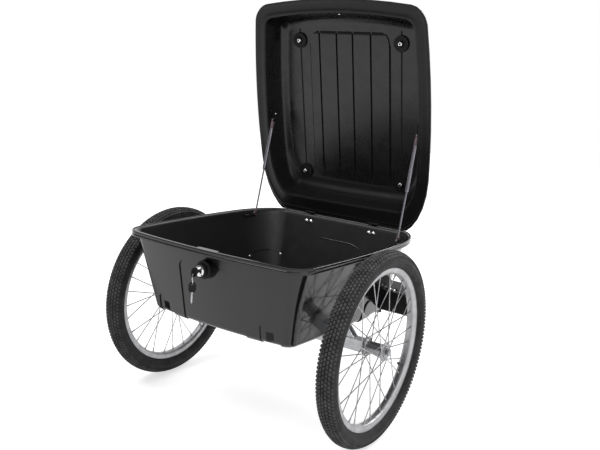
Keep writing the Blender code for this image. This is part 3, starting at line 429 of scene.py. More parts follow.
def black_paint(name, dark, light, rough):
    """Stove enamel on steel: black, with a faint orange peel."""
    made, tree, shader, place = new_material(name)
    peel = noise(tree, place, 2.4, 1.0)
    tree.links.new(shades(tree, peel, dark, light), shader.inputs["Base Color"])
    tree.links.new(bumped(tree, peel, 0.05), shader.inputs["Normal"])
    shader.inputs["Roughness"].default_value = rough
    shader.inputs["IOR"].default_value = 1.5
    shader.inputs["Coat Weight"].default_value = 0.4
    shader.inputs["Coat Roughness"].default_value = 0.15
    return made


# Meshes

def face_outward(mesh):
    """Turn the faces of a closed mesh outward."""
    work = bmesh.new()
    work.from_mesh(mesh)
    bmesh.ops.recalc_face_normals(work, faces=work.faces)
    work.to_mesh(mesh)
    work.free()


def new_piece(name, shape, finish, body, smooth_deg=35.0):
    """Mesh from points in millimetres and faces that rides on a body of the frame."""
    points, faces = shape
    mesh = bpy.data.meshes.new(name)
    mesh.from_pydata([tuple(MM * c for c in p) for p in points], [], faces)
    mesh.validate()
    face_outward(mesh)
    mesh.shade_smooth()
    mesh.set_sharp_from_angle(angle=math.radians(smooth_deg))
    mesh.materials.append(finish)
    made = bpy.data.objects.new(name, mesh)
    bpy.context.scene.collection.objects.link(made)
    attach(made, body)
    return made


def joined(parts):
    """One list of points and one of faces from several."""
    points = []
    faces = []
    for some_points, some_faces in parts:
        start = len(points)
        points.extend(some_points)
        faces.extend([tuple(start + k for k in face) for face in some_faces])
    return points, faces


def band(low, high, size):
    """Faces between two rings of size points that start at low and high."""
    return [(low + k, low + (k + 1) % size, high + (k + 1) % size, high + k) for k in range(size)]


def stacked(rings):
    """Closed solid through rings of equal size."""
    size = len(rings[0])
    points = [point for ring in rings for point in ring]
    faces = [tuple(range(size)), tuple(range(len(points) - size, len(points)))]
    for j in range(len(rings) - 1):
        faces += band(j * size, (j + 1) * size, size)
    return points, faces


def lathed(profile, centre_x, count):
    """Ring solid round the axle from (radius, across) pairs."""
    points = []
    faces = []
    size = len(profile)
    for k in range(count):
        turn = 2.0 * math.pi * k / count
        cos, sin = math.cos(turn), math.sin(turn)
        points.extend([(centre_x + across, r * cos, AXLE_Z + r * sin) for r, across in profile])
    for k in range(count):
        a = k * size
        b = ((k + 1) % count) * size
        for j in range(size):
            n = (j + 1) % size
            faces.append((a + j, b + j, b + n, a + n))
    return points, faces


def mirrored(half, middle=True):
    """Whole profile from its half; middle says that the first point lies on the line of symmetry."""
    return half + [(r, -across) for r, across in reversed(half[1:] if middle else half)]


def bar(start, end, steps, count):
    """Round bar between two points with (share, radius) steps."""
    a = Vector(start)
    way = Vector(end) - a
    turn = way.to_track_quat("Z", "Y").to_matrix()
    points = []
    faces = []
    for share, radius in steps:
        for k in range(count):
            angle = 2.0 * math.pi * k / count
            spot = Vector((radius * math.cos(angle), radius * math.sin(angle), 0.0))
            points.append(tuple(a + way * share + turn @ spot))
    for j in range(len(steps) - 1):
        faces += band(j * count, (j + 1) * count, count)
    faces.append(tuple(reversed(range(count))))
    faces.append(tuple(range(len(points) - count, len(points))))
    return points, faces


def dome(place, way, radius, high):
    """Round bolt head that stands on a surface, with a hexagon socket."""
    turn = Vector(way).to_track_quat("Z", "Y").to_matrix()
    rings = ((radius, 0.0), (radius, 0.35 * high), (0.88 * radius, 0.75 * high), (0.6 * radius, high),
             (0.42 * radius, high), (0.4 * radius, 0.45 * high))
    half_side = math.pi / 6.0
    points = []
    for r, h in rings:
        for k in range(HEAD_SIDES):
            angle = 2.0 * math.pi * k / HEAD_SIDES
            in_socket = r <= 0.5 * radius
            size = r / math.cos((angle + half_side) % (2.0 * half_side) - half_side) if in_socket else r
            spot = Vector((size * math.cos(angle), size * math.sin(angle), h))
            points.append(tuple(Vector(place) + turn @ spot))
    faces = []
    for j in range(len(rings) - 1):
        faces += band(j * HEAD_SIDES, (j + 1) * HEAD_SIDES, HEAD_SIDES)
    faces.append(tuple(range(len(points) - HEAD_SIDES, len(points))))
    faces.append(tuple(range(HEAD_SIDES)))
    return points, faces


def cast(skin, start, way):
    """Point and outward way of a surface that a line meets."""
    place, normal = skin.ray_cast(Vector(start), Vector(way).normalized())[:2]
    if place is None:
        raise ValueError("no surface on the line from " + str(start))
    return place, (normal if normal.dot(Vector(way)) < 0.0 else -normal)


def seated_dome(skin, start, way, radius, high):
    """Bolt head on the place of a surface that a line meets."""
    place, normal = cast(skin, start, way)
    return dome(place - normal * HEAD_SUNK, normal, radius, high)


def node_skin(node):
    """Surface of a carried-over piece in millimetres."""
    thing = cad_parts[node]
    points = [thing.matrix_world @ v.co / MM for v in thing.data.vertices]
    return BVHTree.FromPolygons(points, [tuple(face.vertices) for face in thing.data.polygons])


def bead(path, radius):
    """Low half-round bead along points that lie on a surface."""
    rings = []
    last = len(path) - 1
    turns = [math.pi * k / BEAD_STEPS for k in range(BEAD_STEPS + 1)]
    for j, (place, normal) in enumerate(path):
        along = (path[min(j + 1, last)][0] - path[max(j - 1, 0)][0]).normalized()
        across = normal.cross(along).normalized()
        size = radius * (0.15 if j in (0, last) else 1.0)
        ring = []
        for t in turns:
            wide, high = BEAD_WIDE * size * math.cos(t), size * math.sin(t) - BEAD_SUNK
            ring.append(tuple(place + across * wide + normal * high))
        rings.append(ring)
    return stacked(rings)


# Tyres

def crown(across):
    """Radius of the casing at a distance from its middle, and the lean of its surface."""
    lean = math.asin(max(-0.98, min(0.98, across / CROWN_ROUND_R)))
    return CROWN_R - CROWN_ROUND_R * (1.0 - math.cos(lean)), lean


def casing(x):
    """Smooth casing with a rib and a step on each sidewall."""
    half = [(crown(w)[0], w) for w in CROWN_WIDTHS] + list(SIDEWALL)
    return lathed(mirrored(half), x, CASING_STEPS)


def tread_block(x, turn, across, long_mm, wide_mm, skew, tall):
    """One rubber block that stands on the casing."""
    points = []
    levels = ((-BLOCK_ROOT, 0.0), (tall - BLOCK_CHAMFER, BLOCK_CHAMFER), (tall, 2.0 * BLOCK_CHAMFER))
    for high, shrink in levels:
        for u, v in ((-1, -1), (1, -1), (1, 1), (-1, 1)):
            w = across + v * (wide_mm / 2.0 - shrink)
            radius, lean = crown(w)
            r = radius + high * math.cos(lean)
            w += high * math.sin(lean)
            angle = turn + (u * (long_mm / 2.0 - shrink) + skew * v) / CROWN_R
            points.append((x + w, r * math.cos(angle), AXLE_Z + r * math.sin(angle)))
    return points, [(8, 9, 10, 11), (3, 2, 1, 0)] + band(0, 4, 4) + band(4, 8, 4)


def tread(x):
    """Staggered rows of small blocks, lower ones on the shoulders."""
    parts = []
    for k in range(BLOCK_PITCHES):
        for across, stagger, long_mm, wide_mm, skew, tall in TREAD_ROWS:
            turn = 2.0 * math.pi * (k + stagger) / BLOCK_PITCHES
            for side in ((1.0,) if across == 0.0 else (-1.0, 1.0)):
                parts.append(tread_block(x, turn, side * across, long_mm, wide_mm, side * skew, tall))
    return joined(parts)


# Rims, spokes and hubs

def rim(x):
    """Rim section with rolled edges and a shallow well."""
    w = RIM_HALF
    half = [(RIM_R - 0.6, w), (RIM_R - 1.6, w + 0.4), (203.0, w + 0.1), (198.0, w - 1.0), (194.6, w - 3.4)]
    half += [(RIM_INNER_R, 6.6), (RIM_INNER_R - 0.4, 3.0), (RIM_INNER_R - 0.4, 0.0)]
    inner = [(196.0, 0.0), (196.4, 5.0), (200.0, 8.8), (204.0, w - 3.0)]
    inner += [(RIM_R - 1.0, w - 2.6), (RIM_R, w - 1.4)]
    profile = half + [(r, -across) for r, across in reversed(half[:-1])]
    profile += [(r, -across) for r, across in reversed(inner)] + inner[1:]
    return lathed(profile, x, RIM_STEPS)


def spoke_ends(x, k):
    """Hub end and rim end of one crossed spoke."""
    per_side = SPOKES // 2
    flange = 1.0 if k % 2 == 0 else -1.0
    lead = 1.0 if (k // 2) % 2 == 0 else -1.0
    rim_turn = 2.0 * math.pi * (k + RIM_HOLE_SHIFT) / SPOKES
    hub_turn = rim_turn + lead * math.radians(360.0 / per_side * SPOKE_LEAD)
    face = flange * (HUB_FLANGE_X + lead * SPOKE_OFF_FLANGE)
    start = Vector((x + face, SPOKE_HOLE_R * math.cos(hub_turn), AXLE_Z + SPOKE_HOLE_R * math.sin(hub_turn)))
    end = Vector((x + flange * SPOKE_OFF_MIDDLE, RIM_INNER_R * math.cos(rim_turn),
                  AXLE_Z + RIM_INNER_R * math.sin(rim_turn)))
    return start, end


def spoke_set(x):
    """Round spokes with a head behind the flange."""
    parts = []
    for k in range(SPOKES):
        start, end = spoke_ends(x, k)
        parts.append(bar(start, end, ((0.0, SPOKE_R), (1.0, SPOKE_R)), SPOKE_SIDES))
        inward = 1.0 if start.x > x + math.copysign(HUB_FLANGE_X, start.x - x) else -1.0
        elbow = start + Vector((inward * ELBOW_IN, 0.0, 0.0))
        parts.append(bar(elbow, start - Vector((inward * ELBOW_OUT, 0.0, 0.0)), SPOKE_HEAD, SPOKE_SIDES))
    return joined(parts)


def nipple_set(x):
    """Square-shouldered nipples where the spokes enter the rim."""
    parts = []
    for k in range(SPOKES):
        start, end = spoke_ends(x, k)
        way = (end - start).normalized()
        parts.append(bar(end - way * NIPPLE_L, end, NIPPLE, SPOKE_SIDES))
    return joined(parts)


def hub_shell(x):
    """Turned hub with two flanges and stepped end caps."""
    f = HUB_FLANGE_X
    half = [(HUB_BORE_R, HUB_END_X), (HUB_BORE_R + 5.4, HUB_END_X), (HUB_BORE_R + 6.4, HUB_END_X - 0.8)]
    half += [(HUB_BORE_R + 6.8, f + 2.6), (HUB_BORE_R + 9.0, f + 1.6), (HUB_FLANGE_R - 0.7, f + 1.4)]
    half += [(HUB_FLANGE_R, f + 0.7), (HUB_FLANGE_R, f - 0.7), (HUB_FLANGE_R - 0.7, f - 1.4)]
    half += [(HUB_SHELL_R + 3.2, f - 1.8), (HUB_SHELL_R + 1.0, f - 4.0), (HUB_SHELL_R, f - 8.0)]
    return lathed(mirrored(half, middle=False), x, HUB_STEPS)


def dress_wheel(side, word, finish):
    """Full tyre, rim, spokes and hub in place of the plain ones."""
    x = side * WHEEL_X
    pieces = {
        "tyre_" + word: [("tyre_casing_", casing(x), "rubber", "tyre_rubber", 30.0),
                         ("tyre_tread_", tread(x), "tread", "tyre_rubber", 20.0)],
        "rim_" + word: [("rim_section_", rim(x), "rim", "rim_alloy", 40.0)],
        "spoked_hub_" + word: [("spokes_", spoke_set(x), "spoke", "hub_alloy", 40.0),
                               ("spoke_nipples_", nipple_set(x), "spoke", "hub_alloy", 40.0),
                               ("hub_shell_", hub_shell(x), "hub", "hub_alloy", 30.0)],
    }
    for node, parts in pieces.items():
        for name, shape, look, slot, smooth_deg in parts:
            made = new_piece(name + word, shape, finish[look], "wheel_" + word, smooth_deg)
            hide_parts(node)


# Plan of the tub and the lid

def plan(off, z, far_in=0.0):
    """Ring of the bowed plan, grown by off, with its far edge moved in."""
    grows = off > 0.0
    radius = NEAR_RADIUS + (1.0 if grows else NEAR_CORNER_FOLLOWS) * off
    ex = FAR_CORNER[0] + (off if grows else FAR_CORNER_FOLLOWS[0] * off)
    ey = FAR_CORNER[1] + (off if grows else FAR_CORNER_FOLLOWS[1] * off) - 0.5 * far_in
    half = RIM_HALF_X + off
    far = far_in - off
    near = RIM_LENGTH + off
    points = [((half - radius) * k / NEAR_STEPS, near) for k in range(NEAR_STEPS + 1)]
    for k in range(1, NEAR_CORNER_STEPS + 1):
        turn = math.radians(90.0 * k / NEAR_CORNER_STEPS)
        points.append((half - radius + radius * math.sin(turn), near - radius + radius * math.cos(turn)))
    top = near - radius
    low = far + ey
    points += [(half, top + (low - top) * k / SIDE_STEPS) for k in range(1, SIDE_STEPS + 1)]
    for k in range(1, FAR_CORNER_STEPS + 1):
        turn = math.radians(90.0 * k / FAR_CORNER_STEPS)
        points.append((half - ex + ex * math.cos(turn), low - ey * math.sin(turn)))
    points += [((half - ex) * (1.0 - k / FAR_STEPS), far) for k in range(1, FAR_STEPS + 1)]
    ring = []
    for x, s in points:
        t = (s - RIM_LENGTH / 2.0) / (RIM_LENGTH / 2.0)
        bowed = x + SIDE_BOW * (1.0 - t * t) * min(1.0, x / half)
        along = s + (NEAR_BOW if t > 0.0 else FAR_BOW) * (1.0 - (x / half) ** 2) * t
        ring.append((bowed, RIM_FAR_Y - along, z))
    return ring + [(-x, y, z) for x, y, z in ring[-2:0:-1]]


# Lid

def on_lid(x, s, d):
    """Point of the open lid from its own measures."""
    deep = d - LID_FLANGE_D
    cos, sin = math.cos(LID_OPEN), math.sin(LID_OPEN)
    return (x, HINGE_Y - s * cos + deep * sin, HINGE_Z + s * sin + deep * cos)


def rib(low_x, high_x):
    """One flat rib of the panel, rounded at the field's corners and fading near the hinge."""
    rows = list(RIB_FOOT)
    rows += [(RIB_FOOT[-1][0] + RIB_ROW_STEP * k, RIB_HIGH) for k in range(1, RIB_ROWS + 1)]
    rows += [(FIELD_TOP - RIB_TOP_FROM + RIB_TOP_STEP * k, RIB_HIGH) for k in range(1, RIB_TOP_ROWS + 1)]
    rows += [(FIELD_TOP - RIB_TOP_EDGE, RIB_HIGH), (FIELD_TOP, RIB_TOP_LIP)]
    round_x, round_s = FIELD_CORNER
    edge = RIBS[-1][1]
    wide, tall = RIB_SHOULDER
    rings = []
    for s, high in rows:
        part = max(0.0, s - (FIELD_TOP - round_s)) / round_s
        limit = edge - round_x + round_x * math.sqrt(max(0.0, 1.0 - part * part))
        a, b = max(low_x, -limit), min(high_x, limit)
        lean = min(RIB_SLOPE, (b - a) / 2.0 - RIB_FLAT_HALF)
        mid = wide * lean
        across = ((a, 0.0), (a + mid, tall), (a + lean, 1.0), (b - lean, 1.0), (b - mid, tall), (b, 0.0))
        ring = [on_lid(x, s, PANEL_D + RIB_SUNK - high * share) for x, share in across]
        rings.append(ring + [on_lid(b, s, PANEL_D + RIB_BACK), on_lid(a, s, PANEL_D + RIB_BACK)])
    return stacked(rings)


def strips(places, half, low_s, high_s, proud):
    """Flat strips along the lid at several places, let into its sheet."""
    corners = ((-half, low_s), (half, low_s), (half, high_s), (-half, high_s))
    top = PANEL_D - proud
    made = []
    for x in places:
        rings = [[on_lid(x + a, s, top + deep) for a, s in corners] for deep in (0.0, STRIP_DEEP)]
        made.append(stacked(rings))
    return made


def lid_skin(levels):
    """Thin closed skin from (off, far side, depth, depth at the far side) levels, its back in the sheet."""
    back = [(min(off + SKIN_BACK, SKIN_EDGE), far_s - SKIN_BACK, depth + SKIN_BACK, far_depth + SKIN_BACK)
            for off, far_s, depth, far_depth in levels]
    levels = levels + back[::-1]
    corner_start = NEAR_STEPS + NEAR_CORNER_STEPS + SIDE_STEPS
    points = []
    for off, far_s, depth, far_depth in levels:
        ring = plan(off, 0.0, far_s + off)
        for k, (x, y, _) in enumerate(ring):
            round_corner = min(FAR_CORNER_STEPS, max(0, min(k, len(ring) - k) - corner_start))
            share = math.sin(math.radians(90.0 * round_corner / FAR_CORNER_STEPS)) ** 2
            points.append(on_lid(x, HINGE_Y - y, depth + (far_depth - depth) * share))
    size = len(points) // len(levels)
    faces = []
    for j in range(len(levels)):
        faces += band(j * size, (j + 1) % len(levels) * size, size)
    return points, faces


def dish_levels():
    """Wall of the dish and its wide blend into the panel."""
    levels = list(DISH_WALL)
    for k in range(BLEND_STEPS):
        turn = math.radians(BLEND_STEP_DEG * (BLEND_STEPS - 1 - k))
        side, far = SIDE_BLEND * math.sin(turn), FAR_BLEND * math.sin(turn)
        depths = [PANEL_D - SKIN_PROUD - r * (1.0 - math.cos(turn)) for r in (SIDE_BLEND, FAR_BLEND)]
        levels.append((SIDE_FOOT + side, FAR_FOOT - far, depths[0], depths[1]))
    return levels


def dress_lid(finish):
    """Ribbed panel, smooth flange and dish, chrome heads in the washers and bolts in the wall."""
    ribs = joined([rib(a, b) for a, b in RIBS])
    new_piece("lid_panel_ribs", ribs, finish["lid"], "lid", 20.0)
    # Dull black strips in the rib gaps, along the field's edges and in the outer grooves: painted shade
    groove_shade_strips = strips(GAP_X, *GAP_STRIP) + strips(EDGE_X, *EDGE_STRIP) + strips(GROOVE_X, *GROOVE_STRIP)
    new_piece("lid_panel_groove_shade", joined(groove_shade_strips), finish["groove"], "lid")
    new_piece("lid_panel_flats", joined(strips(FILLED_X, *FILLED_STRIP)), finish["lid"], "lid")
    flange = lid_skin([(off, far_s, depth, depth) for off, far_s, depth in FLANGE])
    new_piece("lid_flange_skin", flange, finish["flange"], "lid", 60.0)
    new_piece("lid_dish_skin", lid_skin(dish_levels()), finish["dish"], "lid", 60.0)
    out = (Vector(on_lid(0.0, 0.0, 0.0)) - Vector(on_lid(0.0, 0.0, 1.0))).normalized()
    heads = [dome(on_lid(x, s, PANEL_D - WASHER_FACE), out, *WASHER_HEAD)
             for x in (-WASHER_X, WASHER_X) for s in WASHER_S]
    new_piece("washer_bolt_heads", joined(heads), finish["chrome"], "lid")
    up = Vector(on_lid(0.0, 1.0, 0.0)) - Vector(on_lid(0.0, 0.0, 0.0))
    skin = node_skin("lid")
    bolts = [seated_dome(skin, on_lid(*CATCH_BOLT), up, *CATCH_HEAD)]
    for side in (-1.0, 1.0):
        bolts.append(seated_dome(skin, on_lid(0.0, STUD_S, STUD_D), (side, 0.0, 0.0), *STUD_HEAD))
    new_piece("lid_wall_bolts", joined(bolts), finish["chrome"], "lid")


def dress_struts(finish):
    """Thicker plastic boots over the strut's end sockets; the upper one is a cup round the tube's end."""
    for side, word in ((-1.0, "left"), (1.0, "right")):
        top = Vector(on_lid(side * STRUT_X, *STRUT_TOP))
        foot = Vector((side * STRUT_X, *STRUT_FOOT))
        way = (foot - top).normalized()
        shape = bar(top + way * TOP_BOOT[0], top + way * TOP_BOOT[1], TOP_BOOT_STEPS, BOOT_SIDES)
        new_piece("strut_boot_top_" + word, shape, finish["socket"], "strut_upper_" + word)
        shape = bar(foot - way * FOOT_BOOT[0], foot - way * FOOT_BOOT[1], FOOT_BOOT_STEPS, BOOT_SIDES)
        new_piece("strut_boot_foot_" + word, shape, finish["socket"], "strut_lower_" + word)


# Tub

def wall_inset(z):
    """Inset of the outer wall face at a height."""
    return -4.0 - (WALL_TOP - z) * DRAFT


def near_face(x, z):
    """Y of the tub's outer near face."""
    half = RIM_HALF_X + wall_inset(z)
    return RIM_FAR_Y - RIM_LENGTH - wall_inset(z) - NEAR_BOW * (1.0 - (x / half) ** 2)


def floor_arc(radius, grow=0.0):
    """Inset and height pairs round the bottom edge."""
    end = math.atan(DRAFT)
    middle_z = TUB_BOTTOM + FLOOR_RADIUS
    arc_top = middle_z - FLOOR_RADIUS * math.sin(end)
    middle = wall_inset(arc_top) - FLOOR_RADIUS * math.cos(end)
    turns = [(math.pi / 2.0 - end) * k / FLOOR_STEPS for k in range(FLOOR_STEPS + 1)]
    return [(middle + (radius + grow) * math.sin(t), middle_z - (radius + grow) * math.cos(t)) for t in turns]


def grown_tub(proud):
    """Solid body of the tub's outside, grown outward."""
    levels = floor_arc(FLOOR_RADIUS, proud) + [(wall_inset(WALL_TOP) + proud, WALL_TOP)]
    return stacked([plan(off, z) for off, z in levels])


def prism(outline, axis, low, high):
    """Straight solid over an outline; axis X or Y is the way it runs."""
    place = (lambda a, b, c: (c, a, b)) if axis == "X" else (lambda a, b, c: (a, c, b))
    return stacked([[place(a, b, c) for a, b in outline] for c in (low, high)])


def block(x0, x1, y0, y1, z0, z1):
    """Straight block, used to cut with."""
    return stacked([[(x0, y0, z), (x1, y0, z), (x1, y1, z), (x0, y1, z)] for z in (z0, z1)])


def arch(middle, half_low, half_top, top, corner):
    """Outline of a panel with rounded upper corners that starts below the tub."""
    points = [(middle - half_low, PANEL_FOOT), (middle + half_low, PANEL_FOOT)]
    for side in (1.0, -1.0):
        for k in range(9):
            turn = math.radians(11.25 * (k if side > 0.0 else 8 - k))
            x = middle + side * (half_top - corner + corner * math.cos(turn))
            points.append((x, top - corner + corner * math.sin(turn)))
    return points


def solid_object(shape):
    """Object of a closed shape with its faces turned outward."""
    mesh = bpy.data.meshes.new("shape")
    mesh.from_pydata([tuple(p) for p in shape[0]], [], shape[1])
    face_outward(mesh)
    made = bpy.data.objects.new("shape", mesh)
    bpy.context.scene.collection.objects.link(made)
    return made


def carved(shape, tool, operation):
    """Points and faces of one shape cut, joined or kept by another."""
    pair = [solid_object(shape), solid_object(tool)]
    cutting = pair[0].modifiers.new("cut", "BOOLEAN")
    cutting.operation = operation
    cutting.solver = "EXACT"
    cutting.object = pair[1]
    mesh = pair[0].evaluated_get(bpy.context.evaluated_depsgraph_get()).to_mesh()
    result = [tuple(v.co) for v in mesh.vertices], [tuple(face.vertices) for face in mesh.polygons]
    for made in pair:
        data = made.data
        bpy.data.objects.remove(made)
        bpy.data.meshes.remove(data)
    return result


def tub_body():
    """Thin tapered shell with its rolled double-bead rim."""
    levels = floor_arc(FLOOR_RADIUS) + [(wall_inset(z), z) for z in WALL_LEVELS] + list(RIM_SECTION)
    levels += [(wall_inset(z) - WALL, z) for z in reversed(WALL_LEVELS)]
    levels += floor_arc(FLOOR_RADIUS - WALL)[::-1]
    return stacked([plan(off, z) for off, z in levels])


def lock_hole():
    """Round tool that cuts the near face for the lock."""
    turns = [2.0 * math.pi * k / 10.0 for k in range(10)]
    circle = [(LOCK_X + LOCK_HOLE_R * math.cos(t), LOCK_Z + LOCK_HOLE_R * math.sin(t)) for t in turns]
    return prism(circle, "Y", *LOCK_HOLE_CUT)


def tub_shape():
    """Tub with recessed near panels, raised side pads, catch ledge, slots and notches."""
    fronts = [prism(arch(0.0, *MIDDLE_PANEL), "Y", *NEAR_CUT)]
    fronts += [prism(arch(side * SLOT_X, *STRAP_PANEL), "Y", *NEAR_CUT) for side in (-1.0, 1.0)]
    recesses = carved(joined(fronts), grown_tub(-RECESS), "DIFFERENCE")
    body = carved(tub_body(), recesses, "DIFFERENCE")
    sides = []
    for side in (-1.0, 1.0):
        sides.append(prism(arch(WHEEL_PAD_Y, *WHEEL_PAD), "X", *sorted(side * x for x in SIDE_CUT)))
    pads = carved(grown_tub(PAD_PROUD), joined(sides), "INTERSECT")
    body = carved(body, carved(pads, grown_tub(-WALL / 2.0), "DIFFERENCE"), "UNION")
    inner = near_face(0.0, 478.0) + WALL
    ledge = block(-LEDGE_HALF, LEDGE_HALF, inner - LEDGE_SUNK, inner + LEDGE_DEEP, *LEDGE_Z)
    body = carved(body, ledge, "UNION")
    cuts = [lock_hole()]
    for side in (-1.0, 1.0):
        x = side * SLOT_X
        cuts.append(block(x - SLOT_HALF, x + SLOT_HALF, *SLOT_CUT, SLOT_LOW, SLOT_HIGH))
        cuts.append(prism([(side * HINGE_X + a, b) for a, b in HINGE_NOTCH], "Y", *HINGE_NOTCH_CUT))
    return carved(body, joined(cuts), "DIFFERENCE")


def tub_bolts(skin):
    """Heads on the trim arch, on the hinge leaves and on the corner guards."""
    middle = Vector((*TRIM_FROM, TRIM_Z))
    heads = [seated_dome(skin, middle, Vector((x, y, TRIM_Z)) - middle, *TRIM_HEAD) for x, y in TRIM_ENDS]
    aside_x, aside_z = HINGE_BOLT_ASIDE
    for side in (-1.0, 1.0):
        for shift in HINGE_BOLT_SHIFTS:
            # The line to the wall runs beside the bolt, and the place that it finds is moved back
            start = Vector((side * HINGE_X + shift + aside_x, 300.0, HINGE_BOLT_Z + aside_z))
            place, normal = cast(skin, start, (0.0, 1.0, 0.0))
            heads.append(dome(place - Vector((aside_x, -HEAD_SUNK, aside_z)), normal, *HINGE_HEAD))
        heads += [dome((side * x, y, GUARD_BOLT_Z), (0.0, 0.0, 1.0), *GUARD_HEAD) for x, y in GUARD_BOLTS]
    return joined(heads)


def tub_beads(skin):
    """Arched bead inside the left wall and the line on the far wall."""
    (x0, y0), (x1, y1) = TRIM_ENDS
    arc = []
    for k in range(TRIM_STEPS + 1):
        turn = math.radians(180.0 * k / TRIM_STEPS)
        share = 0.5 - 0.5 * math.cos(turn)
        spot = Vector((x0 + (x1 - x0) * share, y0 + (y1 - y0) * share, TRIM_Z + TRIM_RISE * math.sin(turn)))
        start = Vector((*TRIM_FROM, spot.z))
        arc.append(cast(skin, start, spot - start))
    far = [cast(skin, (x, 150.0, z), (0.0, 1.0, 0.0)) for x, z in FAR_BEAD]
    return joined([bead(arc, TRIM_BEAD_R), bead(far, FAR_BEAD_R)])


def dress_tub(finish):
    """Smooth tub in place of the faceted one, its bolts and beads, and the lock's seat."""
    shape = tub_shape()
    made = new_piece("tub_moulding", shape, finish["tub"], "frame", 30.0)
    made.data.materials.append(finish["inside"])
    for face in made.data.polygons:
        outward = face.normal.dot(face.center - Vector(TUB_MIDDLE) * MM)
        face.material_index = 0 if outward > 0.0 else 1
    made.modifiers.new("even_shading", "WEIGHTED_NORMAL").keep_sharp = True
    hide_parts("tub")
    skin = BVHTree.FromPolygons([Vector(p) for p in shape[0]], shape[1])
    new_piece("tub_bolts", tub_bolts(skin), finish["chrome"], "frame")
    new_piece("tub_moulded_beads", tub_beads(skin), finish["tub"], "frame")
    face = near_face(LOCK_X, LOCK_Z)
    ends = [(LOCK_X, face + out, LOCK_Z) for out in SEAT_SPAN]
    new_piece("lock_seat", bar(*ends, SEAT_STEPS, LOCK_SIDES), finish["dull"], "frame")
    start = Vector((LOCK_X, face - RING_OUT, LOCK_Z))
    ring = bar(start, start - Vector((0.0, RING_DEEP, 0.0)), RING_STEPS, LOCK_SIDES)
    new_piece("lock_escutcheon", ring, finish["chrome"], "frame")


def dress_keys(finish):
    """Nickel blade over the spare key's blade."""
    front = Vector((LOCK_X, near_face(LOCK_X, LOCK_Z) - KEY_OUT, 0.0))
    eye_z = LOCK_Z - KEY_EYE_LOW
    points, faces = stacked([[(a, c, eye_z + b) for a, b in BLADE] for c in (-BLADE_HALF, BLADE_HALF)])
    spin = Matrix.Rotation(KEY_TURN, 3, "Z")
    points = [tuple(front + spin @ Vector(p)) for p in points]
    new_piece("spare_key_blade", (points, faces), finish["zinc"], "spare_keys")


# Finishes of the carried-over pieces

def make_finishes():
    """Every material of the trailer by its short name."""
    tub = moulded_plastic("abs_tub_gloss", "#111112", "#18181a", 0.10, 2.2, 0.006, 0.43)
    return {
        # Vacuum-formed ABS: black, its sides polished so that they mirror the spokes, its near face
        # grained and satin
        "tub": grain_near_face(tub, 0.27),
        # Inside of the tub: the side away from the polished mould, so it mirrors only softly
        "inside": moulded_plastic("abs_tub_inside", "#131314", "#1a1a1c", 0.42, 2.2, 0.014, 0.42),
        # The same sheet for the lid, with a satin grain
        "lid": moulded_plastic("abs_lid_satin", "#141415", "#1b1b1d", 0.28, 2.2, 0.012, 0.37),
        # Dish of the lid: its gloss drops toward the hinge, painted shade that darkens the lower part of the
        # dish
        "dish": moulded_plastic("abs_lid_dish", "#141415", "#1b1b1d", 0.28, 2.2, 0.012, 0.37, DISH_SHADE_GLOSS),
        # The lid's flange: the same sheet, duller where the press frame held it
        "flange": moulded_plastic("abs_lid_flange", "#111112", "#171719", 0.34, 2.2, 0.012, 0.22),
        # Dull near-black strips at the bottom of the lid's narrow grooves, nearly without gloss: painted
        # shade that keeps the grooves dark
        "groove": tyre_rubber("abs_groove_painted_shade", "#0c0c0c", "#121212", 0.7),
        # Washers, hinge leaves, lock housing and key heads: dull black rubber and plastic
        "dull": tyre_rubber("black_plastic_dull", "#0b0b0c", "#131313", 0.55),
        # Injection-moulded nylon of the swivel and the valves: deep black, slightly dull
        "nylon": moulded_plastic("nylon_black", "#0c0c0d", "#131314", 0.45, 1.2, 0.05),
        # Strut end sockets: dark brownish nylon
        "socket": moulded_plastic("nylon_socket", "#4e3d44", "#605057", 0.42, 1.2, 0.04),
        # Side walls and casing of the tyre: dark, dusty rubber
        "rubber": tyre_rubber("tyre_rubber_wall", "#242425", "#343435", 0.70),
        # Tread blocks: painted lighter grey than the casing, so that the gaps between them read dark as
        # painted shade
        "tread": tyre_rubber("tyre_rubber_tread_lightened", "#3c3c3d", "#555556", 0.75),
        # Foot of the stand: softer, dull rubber
        "foot": tyre_rubber("foot_rubber", "#161617", "#222223", 0.8),
        # Anodised aluminium rim: drawn round the wheel, so a broad dull shine
        "rim": bright_metal("anodised_rim", "#9c9c9e", "#adadaf", 0.42, 2.0, (1.0, 0.15, 0.15)),
        # Machine-polished aluminium hub
        "hub": bright_metal("polished_hub", "#868688", "#98989a", 0.34, 1.0, (6.0, 1.0, 1.0)),
        # Stainless steel wire
        "spoke": bright_metal("stainless_spoke", "#8e8e91", "#a5a5a8", 0.28, 1.0),
        # Extruded aluminium tube, etched matt
        "frame": bright_metal("etched_aluminium_tube", "#b9babc", "#cacbcd", 0.62, 1.2, (0.1, 1.0, 1.0)),
        # Polished strut tube and rod, with the grey of smoked chrome
        "strut": bright_metal("polished_strut_tube", "#757279", "#87848b", 0.30, 3.0, deep_mm=0.002),
        # Zinc-plated steel: slightly cloudy grey
        "zinc": bright_metal("zinc_plated_steel", "#8e8f92", "#a6a7aa", 0.34, 3.0, deep_mm=0.02),
        # Chrome plate: near mirror
        "chrome": bright_metal("chrome_plate", "#d0d0d3", "#e2e2e5", 0.10, 4.0, deep_mm=0.002),
        # Stove enamel on the lid's steel rails: deep black under a thin gloss
        "enamel": black_paint("black_enamel_steel", "#0b0b0c", "#131314", 0.32),
    }


